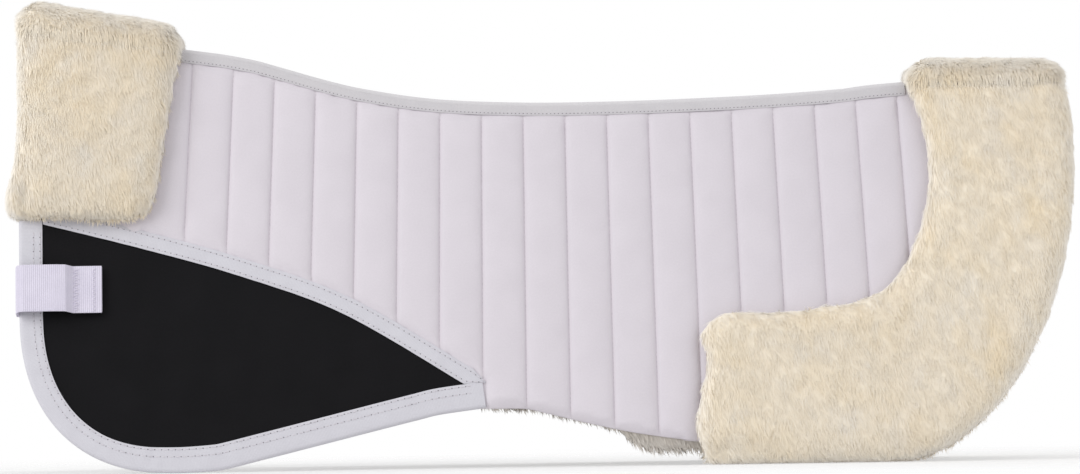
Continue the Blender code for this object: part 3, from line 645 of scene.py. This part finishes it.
# Dark marks between stitches: painted shade where the needle pierced the cloth
HOLE_SHADE = plain("needle_hole_shade", (146, 142, 148), 0.9, 0.0006)
ZIGZAG = plain("zigzag_thread", (240, 235, 248), 0.6, 0.0006)
QUILTING = plain("quilting_thread", (214, 208, 215), 0.7, 0.0006)
FOAM = plain("foam", (216, 212, 196), 0.95, 0.0015)


def capsules(starts, ends, radius, lift):
    """Short threads, arched over the cloth and sinking into it at both ends."""
    sides, steps = 6, 5
    way = ends - starts
    across = unit(np.cross(way, OUTWARD))
    up = unit(np.cross(across, way))
    angles = np.arange(sides) * 2 * math.pi / sides
    rings = []
    for t in np.linspace(0, 1, steps):
        arch = math.sin(math.pi * t)
        size = radius * (0.45 + 0.55 * math.sqrt(arch))
        centre = starts + way * t + up * (lift * arch - radius * 0.5 * (1 - arch))
        ring = [centre + size * (math.cos(a) * across + math.sin(a) * up) for a in angles]
        rings.append(np.stack(ring, 1))
    points = np.stack(rings, 1).reshape(-1, 3)
    cap = np.array([(0, i, i + 1) for i in range(1, sides - 1)])
    one = np.vstack((walls_between(steps, sides), cap[:, ::-1], cap + (steps - 1) * sides))
    starts_at = np.arange(len(starts)) * steps * sides
    return facing_out(points, (one[None] + starts_at[:, None, None]).reshape(-1, 3))


def stitched(path, depth, stitch=STITCH, gap=STITCH_GAP, radius=THREAD):
    """A row of stitches along a flat path, and dark marks between them: painted shade where the needle
    pierced the cloth.
    """
    total = runs_of(path)[-1]
    count = int(total / (stitch + gap))

    def at(runs):
        spots = at_runs(path, runs)
        return place(*spots.T, depth(spots))

    first = (np.arange(count) + 0.5) * total / count - stitch / 2
    threads = capsules(at(first), at(first + stitch), radius, radius * 0.7)
    hole = first[:-1] + stitch + gap / 2
    # Painted shade where the needle pierced the cloth
    hole_shade = capsules(at(hole - 0.0004), at(hole + 0.0004), radius * 1.25, radius * 0.1)
    return threads, hole_shade


def sew(name, rows, body="half"):
    """The stitches of one seam on both halves, and the painted shade between them where the needle pierced
    the cloth.
    """
    for word, stuff, shapes in zip(("stitches", "hole_shade"), (THREADS, HOLE_SHADE), zip(*rows)):
        both(f"{name}_{word}", joined(*shapes), stuff, "white_tape", body)


def stretch(kept, order, step, skipped=0):
    """A smooth stretch of the quilt's edge, whose points are put in order."""
    points = QUILT[kept]
    return smooth(points[np.argsort(points @ order)][skipped:], step)


QUILT = outline("left_quilt_cover")
QUILT_EDGE = smooth(QUILT, EDGE_STEP, True)
QUILT_X, QUILT_Z = QUILT.T
TIP_X = QUILT_X[(QUILT_Z < 0.056) & (QUILT_X < 0.0)].min()
TIP_END_X = TIP_X + 0.0100
HEM = stretch((QUILT_Z < 0.0545) & (QUILT_X > TIP_X - 1e-4) & (QUILT_X < 0.105), (1, -0.2), EDGE_STEP)
SEAM_SIDE = stretch((QUILT_X < TIP_X + 1e-4) & (QUILT_Z < 0.20), (1, -1), 0.004)
UPPER = stretch(QUILT_Z > 0.222, (1, 0), 0.004, 1)

# Creases across the channels: from and to along X, height, and share of the deepest
CREASES = ((-0.064, 0.028, 0.199, 0.5), (-0.070, 0.000, 0.180, 0.35), (-0.058, 0.020, 0.160, 0.4))


def spine_height(x):
    return np.interp(x, UPPER[:, 0], UPPER[:, 1])


def channel_line(place_across, z):
    """A line down the channels at a place across them, counted in pitches."""
    x = CHANNEL_START + place_across * CHANNEL_PITCH
    return np.stack((x * (1 - CHANNEL_FAN * (z - CHANNEL_LEVEL)), z), 1)


def channel_place(spots):
    """Where flat places lie across the channels, in pitches."""
    return (spots[:, 0] / (1 - CHANNEL_FAN * (spots[:, 1] - CHANNEL_LEVEL)) - CHANNEL_START) / CHANNEL_PITCH


def pillow(spots):
    """Height of the quilting, from 0 in the seams to 1 on the crowns."""
    across = np.clip(channel_place(spots), CHANNEL_FIRST - 0.5, CHANNEL_LAST + 0.5)
    t = across % 1.0
    near = np.minimum(t, 1 - t) * CHANNEL_PITCH
    return (1 - ROUNDNESS) * (1 - np.exp(-near / GROOVE)) + ROUNDNESS * 4 * t * (1 - t)


def risen(values, start, width=0.0040):
    """0 up to a start, and rising to 1 over a width."""
    return np.clip((values - start) / width, 0, 1)


def quilt_height(spots):
    """Depth of the quilt's outer face, with its channels, puckers and creases."""
    puff = pillow(spots)
    x, z = spots.T
    pucker = noise(np.column_stack((x * 0.25, z)), 0.0075, 3) * np.exp(-((0.55 - puff) ** 2) / 0.06)
    relief = CHANNEL_HEIGHT * (SEAM_RISE + (1 - SEAM_RISE) * puff)
    relief = relief + PUCKERS * pucker + UNEVENNESS * noise(spots, 0.030, 5) * puff
    below = spine_height(x) - z
    relief += GATHERS * noise(np.column_stack((x, z * 0.1)), 0.0050, 7) * np.exp(-((below / 0.014) ** 2))
    for x0, x1, height, size in CREASES:
        middle, reach = (x0 + x1) / 2, (x1 - x0) / 2
        line = height + 0.0015 * np.sin(x * 140)
        fade = np.clip(1 - ((x - middle) / reach) ** 2, 0, 1)
        relief -= CREASE_DEPTH * size * fade * np.exp(-(((z - line) / CREASE_WIDTH) ** 2))
    beside_tip = np.maximum(risen(x - TIP_END_X, 0.0005), risen(z, TIP_TOP))
    clear = risen(below, UNDER_SPINE, 0.0045) * risen(path_gap(spots, SEAM_SIDE), UNDER_SEAM) * beside_tip
    relief *= np.sqrt(clear)
    hem = risen(path_gap(spots, HEM), 0.0, HEM_WIDTH)
    lip = -HEM_DROP + (relief + HEM_DROP) * np.sqrt(1 - (1 - hem) ** 2)
    return EDGE_TOP + np.minimum(relief, lip)


def level(depth):
    return lambda spots: np.full(len(spots), depth)


def make_quilts():
    """Cotton cover over its wadding, sewn down in channels."""
    shares = np.array((0, 0.035, 0.075, 0.13, 0.21, 0.31, 0.43, 0.57, 0.69, 0.79, 0.87, 0.925, 0.965))
    rows = np.arange(0.012, 0.295, QUILT_ROW)
    channels = range(CHANNEL_FIRST - 1, CHANNEL_LAST + 2)
    spots = np.vstack([channel_line(channel + share, rows) for channel in channels for share in shares])
    spots = kept_inside(spots, QUILT_EDGE, 0.0010)
    shape = slab(QUILT_EDGE, spots, quilt_height, level(WADDING_IN))
    cloth = shape[2]
    # The third value is the share of painted shade, darkest in the quilting's grooves
    cloth[:, 2] = np.clip(1 - pillow(cloth[:, :2]) * 1.9, 0, 1) ** 2
    for piece in both("quilt", shape, COTTON, "white_cotton", nodes=("quilt_cover", "wadding")):
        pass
    rows = []
    for channel in range(CHANNEL_FIRST, CHANNEL_LAST + 1):
        line = kept_inside(channel_line(channel, np.arange(0.010, 0.29, 0.002)), QUILT_EDGE, 0.004)
        if len(line) > 10:
            rows.append(stitched(line, quilt_height, 0.0022, 0.0009, FINE_THREAD)[0])
    both("quilting_stitches", joined(*rows), QUILTING, "white_cotton")


def make_flaps():
    """Black nylon flap and its cotton backing, thin sheets stretched in the binding."""
    layers = (
        ("flap", "flap_panel", NYLON, "black_nylon", FLAP_THICKNESS, 0.00035),
        ("flap_lining", "flap_backing", LINEN, "white_cotton", BACKING_THICKNESS, 0.0),
    )
    for name, solid, stuff, slot, thickness, rumple in layers:
        top = np.median(outer_rim(f"left_{solid}")[:, 2])
        loop = outline(f"left_{solid}")
        edge = smooth(loop, EDGE_STEP, True)

        def outer(spots):
            slack = np.clip(edge_gap(spots, loop) / 0.02, 0, 1)
            return top + rumple * slack * (noise(spots, 0.038, 11) - 1.0)

        shape = slab(edge, field(edge, 0.0045, 0.002), outer, lambda spots: outer(spots) - thickness)
        for piece in both(name, shape, stuff, slot, nodes=(solid,)):
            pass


def band(first, second, depth, thickness):
    """A thin tape between two paths abreast, its edges a little rounded."""
    shares = np.linspace(0, 1, 9)
    runs = runs_of(first)
    rings, cloth = [], []
    for a, b, run in zip(first, second, runs):
        spots = a + shares[:, None] * (b - a)
        width = np.linalg.norm(b - a)
        edge = np.minimum(shares, 1 - shares) * width
        under = depth(spots)
        over = under + thickness * (1 - 0.45 * np.exp(-((edge / 0.0006) ** 2)))
        rings.append(np.vstack((place(*spots.T, over), place(*spots[::-1].T, under[::-1]))))
        across = np.concatenate((shares, shares[::-1])) * width
        cloth.append(on_cloth(run, across))
    return tube(rings, cloth)


def led_on(path, way):
    """A path carried straight on in four steps."""
    return np.vstack((path, path[-1] + np.arange(1, 5)[:, None] / 4 * way))


def make_seam_tape():
    """Tape over the seam between the flap and the quilting."""
    lower, upper = sorted(band_sides("left_seam_tape", 0.0025), key=lambda side: side[:, 1].mean())
    lower, upper = (side if side[-1, 0] > side[0, 0] else side[::-1] for side in (lower, upper))
    corner = np.array((TIP_END_X, lower[-1, 1] + 0.0010))
    upper = led_on(upper, corner - upper[-1])
    lower = led_on(lower, corner - (0.0006, 0.0004) - lower[-1])

    def under(spots):
        return EDGE_TOP + LAYER_GAP + 0.00018 * noise(spots, 0.012, 21)

    shape = band(lower, upper, under, TAPE_THICKNESS)
    both("flap_seam_tape", shape, TAPE, "white_tape", nodes=("seam_tape",))
    rows = [stitched(lower + share * (upper - lower), lambda spots: under(spots) + TAPE_THICKNESS)
            for share in (0.16, 0.80)]
    sew("seam_tape", rows)


def make_binding():
    """Tape folded round the flap's edge, with two rows of stitches."""
    sides = list(band_sides("left_flap_binding", 0.0022))
    if area_of(np.vstack((sides[0], sides[1][::-1]))) < 0:
        sides = [side[::-1] for side in sides]
    for k, side in enumerate(sides):
        way = side[-1] - side[-3]
        sides[k] = led_on(side, way / way[0] * (TIP_END_X - side[-1, 0]))
    edge, inner = sides
    width = path_gap(edge, inner)
    width = np.convolve(np.pad(width, 6, "edge"), np.ones(13) / 13, "valid")
    top = outer_rim("left_flap_binding")[:, 2].mean()
    radius = (top - BINDING_IN) / 2
    middle = (top + BINDING_IN) / 2
    bends = np.radians(np.linspace(90, 270, 9)[1:-1])
    ripple = 0.00014 * noise(edge, 0.010, 31)
    inwards = left_of(edge)
    runs = runs_of(edge)
    rings, cloth = [], []
    for i in range(len(edge)):
        leg = np.linspace(width[i], radius, 7)
        back = np.linspace(radius, width[i] * 0.8, 4)
        sides = []
        for sunk in (0.0, BINDING_THICKNESS):
            bend = radius - sunk
            across = np.concatenate((leg, radius + bend * np.cos(bends), back))
            faces = leg * 0 + top - sunk, back * 0 + BINDING_IN + sunk
            depths = np.concatenate((faces[0], middle + bend * np.sin(bends), faces[1]))
            sides.append(np.stack((across, depths), 1))
        sides[0][:len(leg), 1] += ripple[i] * np.minimum((leg - radius) / 0.004, 1.0)
        sides[0][0, 1] = top - BINDING_THICKNESS * 0.35
        profile = np.vstack((sides[0], sides[1][::-1]))
        spots = edge[i] + profile[:, :1] * inwards[i]
        rings.append(place(*spots.T, profile[:, 1]))
        cloth.append(on_cloth(runs[i], runs_of(profile)))
    both("edge_binding", tube(rings, cloth), TAPE, "white_tape", nodes=("flap_binding",))
    rows = []
    for share in (0.62, 0.90):
        line = edge + inwards * (width * share)[:, None]
        rows.append(stitched(line[3:-3], level(top), 0.0028, 0.0016))
    sew("binding", rows)


def make_spine():
    """Tape and facing bent over the spine, each in two halves."""
    low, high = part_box("spine_tape")
    xs = np.arange(low[0] - 0.0026, high[0] + 0.0026, 0.0030)
    heights = spine_height(xs)
    out = EDGE_TOP + LAYER_GAP + TAPE_THICKNESS
    crossing = (-0.018, -0.002)
    layers = (
        ("spine_tape", SPINE_TAPE, 0.0, 0.0, TAPE_THICKNESS),
        ("spine_facing", LINEN, 32.0, TAPE_THICKNESS + LAYER_GAP, TAPE_THICKNESS * 0.8),
    )
    for name, stuff, first, below, thickness in layers:
        angles = np.radians(np.linspace(first, 90, 9))
        rings, cloth = [], []
        for x, z in zip(xs, heights):
            corner = place(x, z + LAYER_GAP, out)[0]
            sides = []
            for sunk in (below, below + thickness):
                y = (corner[1] + sunk) * np.cos(angles)
                height = corner[2] + (SPINE_TAPE_RISE - sunk) * np.sin(angles)
                sides.append(np.stack((np.full(len(angles), x), y, height), 1))
            if first == 0:
                drops = np.linspace(SPINE_TAPE_LEG, 0.0012, 4)
                for k, inset in enumerate((np.array((thickness * 0.3, 0, 0, 0)), thickness)):
                    sides[k] = np.vstack((place(x, z - drops, out - inset), sides[k]))
            ring = np.vstack((sides[0], sides[1][::-1]))
            rings.append(ring)
            cloth.append(on_cloth(x, runs_of(ring)))
        both(name, tube(rings, cloth), stuff, "white_tape", crossing, (name,))
    line = np.stack((xs, heights - SPINE_TAPE_LEG + 0.0012), 1)
    sew("spine_tape", [stitched(line, level(out), 0.0017, 0.0008, FINE_THREAD)], crossing)


def strip(profile, low, high, step, relief):
    """A band of constant width up the flap, with a cross-section and a relief along it."""
    way = unit(np.roll(profile, -1, 0) - np.roll(profile, 1, 0))
    out = np.stack((way[:, 1], -way[:, 0]), 1)
    runs = runs_of(profile)
    profile = profile + out * relief(runs)[:, None]
    rings, cloth = [], []
    for z in np.linspace(low, high, max(2, round((high - low) / step) + 1)):
        near = min(z - low, high - z)
        ring = profile - out * 0.00025 * math.exp(-((near / 0.0004) ** 2))
        rings.append(place(ring[:, 0], np.full(len(ring), z), ring[:, 1]))
        cloth.append(on_cloth(runs, z))
    return tube(rings, cloth)


def rippled(size, pitch):
    return lambda runs: size * (np.sin(2 * math.pi * runs / pitch) - 1.4)


def make_straps():
    """Webbing strap with zigzag sewing, its hook and loop patches and its sewn end."""
    low, high = STRAP_Z - STRAP_WIDTH / 2, STRAP_Z + STRAP_WIDTH / 2
    ribs = rippled(0.00011, 0.0013)
    bumps = rippled(0.00018, 0.0011)
    pieces = (
        ("webbing_strap", "strap", ribs, WEBBING, "white_webbing", "strap_tab", 0.0),
        ("webbing_end", "strap_base", ribs, WEBBING, "white_webbing", "half", 0.0),
        ("hook_tape", "hook_patch", bumps, HOOKS, "hook_tape", "strap_tab", 0.0008),
        ("loop_tape", "loop_patch", bumps, LOOPS, "loop_pile", "half", 0.0),
    )
    for name, solid, relief, stuff, slot, body, narrower in pieces:
        profile = section(f"left_{solid}")
        shape = strip(profile, low + narrower, high - narrower, 0.0009, relief)
        both(name, shape, stuff, slot, body, (solid,))
    profile = section("left_strap")
    end = profile[:, 0].max()
    top = profile[profile[:, 0] > end - 0.004, 1].max()
    rows = []
    for inset, width, pitch in ((0.0168, 0.0048, 0.0016), (0.0053, 0.0026, 0.0013)):
        zs = np.arange(low + 0.0008, high - 0.0006, pitch)
        x = end - inset + width / 2 * np.where(np.arange(len(zs)) % 2, 1.0, -1.0)
        points = place(x, zs, np.full(len(zs), top))
        rows.append(capsules(points[:-1], points[1:], THREAD, THREAD))
    both("strap_zigzag", joined(*rows), ZIGZAG, "white_webbing", "strap_tab")


def solid_shape(solid):
    """A node's triangles with its split points joined again."""
    bm = bmesh.new()
    bm.from_mesh(frame["nodes"][solid].data)
    bmesh.ops.remove_doubles(bm, verts=bm.verts[:], dist=2e-6)
    bmesh.ops.triangulate(bm, faces=bm.faces[:])
    return bm


def vertex_normals(points, triangles):
    vectors = face_vectors(points, triangles)
    total = np.zeros_like(points)
    for k in range(3):
        np.add.at(total, triangles[:, k], vectors)
    return unit(total)


def relaxed(points, triangles, times):
    """Points drawn towards the middle of their neighbours, a few times."""
    pairs = np.vstack([triangles[:, (k, (k + 1) % 3)] for k in range(3)])
    pairs = np.vstack((pairs, pairs[:, ::-1]))
    count = np.maximum(np.bincount(pairs[:, 0], minlength=len(points)), 1)[:, None]
    for _ in range(times):
        total = np.zeros_like(points)
        np.add.at(total, pairs[:, 0], points[pairs[:, 1]])
        points = 0.4 * points + 0.6 * total / count
    return points


def remeshed(bm, voxel):
    """Points and triangles of an even mesh over a closed one."""
    mesh = bpy.data.meshes.new("work")
    bm.to_mesh(mesh)
    work = in_scene("work", mesh)
    remesh = work.modifiers.new("remesh", "REMESH")
    remesh.mode = "VOXEL"
    remesh.voxel_size = voxel
    fine = bpy.data.meshes.new_from_object(work.evaluated_get(bpy.context.evaluated_depsgraph_get()))
    bpy.data.objects.remove(work)
    fine.calc_loop_triangles()
    triangles = [tuple(triangle.vertices) for triangle in fine.loop_triangles]
    return np.array([tuple(vertex.co) for vertex in fine.vertices]), np.array(triangles)


def used_only(points, triangles):
    used, numbers = np.unique(triangles, return_inverse=True)
    return points[used], numbers.reshape(-1, 3), used


def open_places(points, normals, solid):
    """Which places on a solid have no other piece close over them."""
    free = np.ones(len(points), bool)
    for other in frame["nodes"]:
        if other == solid or other.startswith("right"):
            continue
        low, high = (np.array(corner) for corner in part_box(other))
        close = (points > low - COVER_REACH) & (points < high + COVER_REACH)
        near = np.flatnonzero(np.all(close, axis=1) & free)
        if len(near):
            bm = solid_shape(other)
            tree = BVHTree.FromBMesh(bm)
            bm.free()
            for i in near:
                start = Vector(points[i] - normals[i] * 5e-4)
                free[i] = tree.ray_cast(start, Vector(normals[i]), COVER_REACH)[3] is None
    return free


def fur_skin(solid, voxel, sink, halved):
    """The skin under the fur of a solid, and how open each of its points is, from 0 to 1.

    The skin is rounded and lumpy, and it is sunk by the height of the pile where it is open.
    """
    bm = solid_shape(solid)
    tree = BVHTree.FromBMesh(bm)
    points, triangles = remeshed(bm, voxel)
    bm.free()
    free = open_places(points, vertex_normals(points, triangles), solid).astype(float)
    free = relaxed(free[:, None], triangles, 1)[:, 0]
    points = points + (relaxed(points, triangles, 3) - points) * (0.1 + 0.9 * free)[:, None]
    normals = vertex_normals(points, triangles)
    thick = [[tree.ray_cast(Vector(point - normal * 1e-4), Vector(-normal), 0.03)[3] or 0.03]
             for point, normal in zip(points, normals)]
    thick = relaxed(np.array(thick), triangles, 2)[:, 0]
    swell = LUMP * (noise(points, 0.016, 41) + 0.7 * noise(points, 0.007, 43))
    points = points - normals * ((np.minimum(sink, thick * 0.30) - swell) * free)[:, None]
    points = relaxed(points, triangles, 1)
    if halved:
        points[:, 1] = np.minimum(points[:, 1], 0.0)
        real = np.linalg.norm(face_vectors(points, triangles), axis=1) > 1e-12
        triangles = triangles[real & (points[triangles].mean(1)[:, 1] < -1e-6)]
        points, triangles, used = used_only(points, triangles)
        free = free[used]
    return points, triangles, free


def blades_along(root, middle, tip, across, normals):
    """Bent blades of five points each, which look the way that the skin does."""
    blades = np.stack((root - across, root + across, middle - across * 0.85, middle + across * 0.85, tip), 1)
    blades = blades.reshape(-1, 3)
    blades[:, 2] = np.maximum(blades[:, 2], FLOOR_GAP)
    one = np.array(((0, 1, 3), (0, 3, 2), (2, 3, 4)))
    faces = (one[None] + (np.arange(len(root)) * 5)[:, None, None]).reshape(-1, 3)
    looking = np.sum(face_vectors(blades, faces[::3]) * normals) > 0
    return blades, faces if looking else faces[:, ::-1]


def locks(points, triangles, free, count, kind, seed, over_ends):
    """Locks of fibres as bent blades, two faces wide at the root and one at the tip.

    Their flat sides are turned towards the nearer side of the pad where the skin looks sideways.
    They lie down where another piece covers the skin close by. Over ends they also reach out, and
    hang down over the joint below.
    """
    rng = np.random.default_rng(seed)
    length, width, _, lean, bend = kind
    spread, pressed, rounding = (6, 5, 0.7) if over_ends else (3, 16, 0.4)
    area = np.linalg.norm(face_vectors(points, triangles), axis=1) * (free[triangles].mean(1) > 0.05)
    chosen = triangles[rng.choice(len(triangles), count, p=area / area.sum())]
    u, v = rng.random((2, count))
    over = u + v > 1
    u[over], v[over] = 1 - u[over], 1 - v[over]
    weights = np.stack((1 - u - v, u, v), 1)[:, :, None]

    def at_roots(values):
        return (values[chosen] * weights).sum(1)

    roots = at_roots(points)
    normals = unit(at_roots(vertex_normals(points, triangles)))
    if over_ends:
        normals[:, 2] = np.maximum(normals[:, 2], 0.05)
        normals = unit(normals)
    facing = normals @ OUTWARD
    rim = np.clip((0.85 - np.abs(facing)) / 0.5, 0, 1)
    nearer = np.where(facing > -0.2, 1.0, -1.0) * rim
    if over_ends:
        nearer *= np.clip(-roots[:, 1] / 0.015, 0.1, 1)
    covered = at_roots(relaxed(1 - free[:, None], triangles, spread))[:, 0]
    fringe = over_ends * np.clip(covered * 1.8, 0, 1) * np.clip(facing * 2, 0, 1)
    roots = roots + OUTWARD * (FRINGE_REACH * fringe)[:, None]
    sway = [noise(roots, 0.011, seed + k) + 0.6 * noise(roots, 0.0045, seed + 10 + k) for k in range(3)]
    ends = over_ends * np.clip((np.abs(normals[:, 0]) - 0.3) / 0.3, 0, 1)[:, None]
    way = (crest_comb(roots) if over_ends else DOWN + (0.25, 0, 0)) * (1 - ends) + DOWN * ends
    loose = 1 - 0.7 * fringe[:, None]
    way = way + SWAY * np.stack(sway, 1) * loose + SCATTER * rng.normal(size=(count, 3))
    way = unit(way - normals * np.sum(way * normals, 1)[:, None])
    stands = rng.random(count) < STANDING
    tilt = lean + 6 * rim - 3 * noise(roots, 0.008, seed + 21) + rng.normal(0, 3, count)
    tilt = np.clip(tilt, 20, 82) + pressed * np.clip(covered * 2, 0, 1) - 10 * ends[:, 0]
    tilt = np.radians(np.where(stands, rng.uniform(40, 62, count), tilt))
    slight = np.where(stands, 0.6, 1.0)
    size = length * rng.uniform(0.72, 1.12, count) * slight * (1 + 0.5 * fringe)
    line = [roots - normals * ROOT_DEPTH]
    for part in (tilt - math.radians(bend), tilt + math.radians(bend)):
        rise = normals * np.cos(part)[:, None] + way * np.sin(part)[:, None]
        line.append(line[-1] + rise * (size * 0.5)[:, None])
    across = unit(np.cross(way, normals + OUTWARD * (0.7 * nearer)[:, None]))
    across *= (width * rng.uniform(0.7, 1.3, count) / 2 * slight)[:, None]
    blades, faces = blades_along(*line, across, normals)
    bent = normals + OUTWARD * (rounding * nearer)[:, None]
    bent = unit(bent + 0.07 * way + 0.02 * rng.normal(size=(count, 3)))
    values = np.zeros((count, 5, 3))
    # Share from root to tip: the darker roots are painted shade
    values[:, :, 0] = (0.15, 0.15, 0.75, 0.75, 1.0)
    values[:, :, 1] = rng.random(count)[:, None]
    # How far each lock is painted paler at the sides: painted light
    values[:, :, 2] = side_light_share(normals)[:, None]
    on_five = (np.repeat(each, 5, 0) for each in (bent, roots, normals @ OUTWARD > 0))
    return (blades, faces), values.reshape(-1, 3), *on_five


def side_light_share(normals):
    """1 where the fur turns away at the sides of a trim, 0 on its face: the share of painted light that makes
    the fur paler there.
    """
    return np.clip((0.90 - np.abs(normals @ OUTWARD)) / 0.6, 0, 1)


def bake_place(spots, outer, low, high):
    """Places on a baked picture: outer faces on its left half, inner ones on its right."""
    share = np.clip((spots - low) / (high - low), 0, 1)
    return np.stack((share[:, 0] * 0.48 + np.where(outer, 0.01, 0.51), share[:, 2] * 0.98 + 0.01), 1)


def crest_comb(roots):
    """Fur over the spine lies along it at the top, and down its own side lower on."""
    high = np.clip(1 + roots[:, 1] / 0.030, 0, 1)[:, None]
    return high * (1.0, -0.2, 0.0) + (1 - high) * (0.15, -0.3, -1.2)


def furry(name, solid, kind, stuff, slot, body, count, voxel, seed):
    """A fur piece on both halves, with its skin and locks in one mesh."""
    over_ends = solid.endswith("crest")
    points, triangles, free = fur_skin(solid, voxel, kind[2], over_ends)
    normals = vertex_normals(points, triangles)
    outer = face_vectors(points, triangles) @ OUTWARD > 0
    parts = []
    for side in (outer, ~outer):
        some, faces, used = used_only(points, triangles[side])
        # The skin under the locks is painted halfway to the root colour: painted shade
        values = np.column_stack((np.full((len(some), 2), (0.45, 0.5)), side_light_share(normals[used])))
        parts.append(((some, faces), values, normals[used], some, np.full(len(some), side is outer)))
    parts.append(locks(points, triangles, free, count, kind, seed, over_ends))
    shapes, *values = zip(*parts)
    values, bent, cloth, looks_out = (np.concatenate(each) for each in values)
    uv = bake_place(cloth, looks_out, points.min(0) - 0.002, points.max(0) + 0.002)
    nodes = (solid.removeprefix("left_"),)
    for piece in both(name, joined(*shapes), stuff, slot, body, nodes, bent, uv=uv, cloth=cloth, lock=values):
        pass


def make_fur():
    """Cream fur of the trims and crests, and the linings' fur, painted grey-brown as shade."""
    crest_bend = (-0.030, -0.004)
    furs = (
        ("front_fur", "left_front_trim", "half", 36000, 0.0028, 110),
        ("front_spine_fur", "front_crest", crest_bend, 17000, 0.0028, 310),
        ("rear_fur", "left_rear_trim", "half", 58000, 0.0036, 170),
        ("rear_spine_fur", "rear_crest", crest_bend, 17000, 0.0028, 370),
    )
    for name, solid, *rest in furs:
        furry(name, solid, TRIM_FUR, CREAM, "cream_fur", *rest)
    furry("lining_fur", "left_lining", LINING_FUR, SHADED_FUR, "grey_fur", "half", 52000, 0.0040, 500)


def make_cores():
    """Foam inside the fur trims."""
    for end in ("front", "rear"):
        edge = smooth(outline(f"left_{end}_core"), 0.005, True)

        def top(spots):
            return CORE_OUT - 0.0015 * np.exp(-((edge_gap(spots, edge) / 0.002) ** 2))

        shape = slab(edge, field(edge, 0.012, 0.004), top, level(CORE_IN))
        for piece in both(f"{end}_foam", shape, FOAM, "foam", nodes=(f"{end}_core",)):
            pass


def lamp(name, where, size, power):
    light = bpy.data.lights.new(name, "AREA")
    light.size = size
    light.energy = power
    made = in_scene(name, light)
    made.location = where
    made.rotation_euler = (Vector(LIT_PLACE) - Vector(where)).to_track_quat("-Z", "Y").to_euler()


def make_surroundings():
    """White for the camera and in reflections, and an even light on everything else."""
    world = bpy.data.worlds.new("surroundings")
    bpy.context.scene.world = world
    world.use_nodes = True
    tree = world.node_tree
    tree.nodes.clear()
    rays = node(tree, "LightPath").outputs
    seen = maths(tree, "MAXIMUM", rays["Is Camera Ray"], rays["Is Glossy Ray"])
    seen = maths(tree, "MAXIMUM", seen, rays["Is Transmission Ray"])
    lights = [node(tree, "Background", (1, 1, 1, 1), power).outputs[0] for power in (WORLD_LIGHT, 1.0)]
    node(tree, "OutputWorld", node(tree, "MixShader", seen, *lights).outputs[0])


def make_floor():
    """A pale floor that fades out away from the pad."""
    bpy.ops.mesh.primitive_circle_add(vertices=96, radius=4.0, fill_type="NGON")
    floor = bpy.context.object
    floor.name = "floor"
    stuff, tree, shader = material("floor", 0.9)
    where = node(tree, "TexCoord").outputs["Object"]
    where = node(tree, "VectorMath", where, (0.5, 1.5, 1.0), operation="MULTIPLY").outputs["Vector"]
    away = node(tree, "VectorMath", where, operation="LENGTH").outputs["Value"]
    fade = node(tree, "MapRange", away, 0.18, 0.75, 0.5, 0.0).outputs[0]
    given(shader, Base_Color=(0.94, 0.94, 0.94, 1.0), Alpha=fade)
    floor.data.materials.append(stuff)


def make_camera():
    """A long lens square to the pad's side, turned a little as the photograph is."""
    scene = bpy.context.scene
    camera = bpy.data.cameras.new("camera")
    camera.lens = LENS
    camera.sensor_width = 36.0
    camera.clip_start = 0.5
    camera.clip_end = 60.0
    seen_from = in_scene("camera", camera)
    right = Vector((math.cos(PHOTO_TURN), 0, -math.sin(PHOTO_TURN)))
    up = Vector((math.sin(PHOTO_TURN), 0, math.cos(PHOTO_TURN)))
    back = Vector((0, -1, 0))
    distance = PHOTO_SCALE * PHOTO_WIDTH * LENS / camera.sensor_width
    turn = Matrix((right, up, back)).transposed().to_4x4()
    seen_from.matrix_world = Matrix.Translation(Vector(PHOTO_CENTRE) + back * distance) @ turn
    scene.camera = seen_from
    scene.view_settings.view_transform = "Standard"


make_quilts()
make_flaps()
make_seam_tape()
make_binding()
make_spine()
make_straps()
make_cores()
make_fur()
make_surroundings()
make_floor()
lamp("key", (-2.9, -1.9, 1.7), 2.2, KEY_LIGHT)
lamp("fill", (2.2, -2.0, 1.2), 2.0, FILL_LIGHT)
lamp("back", (0.6, 2.6, 2.2), 1.8, BACK_LIGHT)
make_camera()
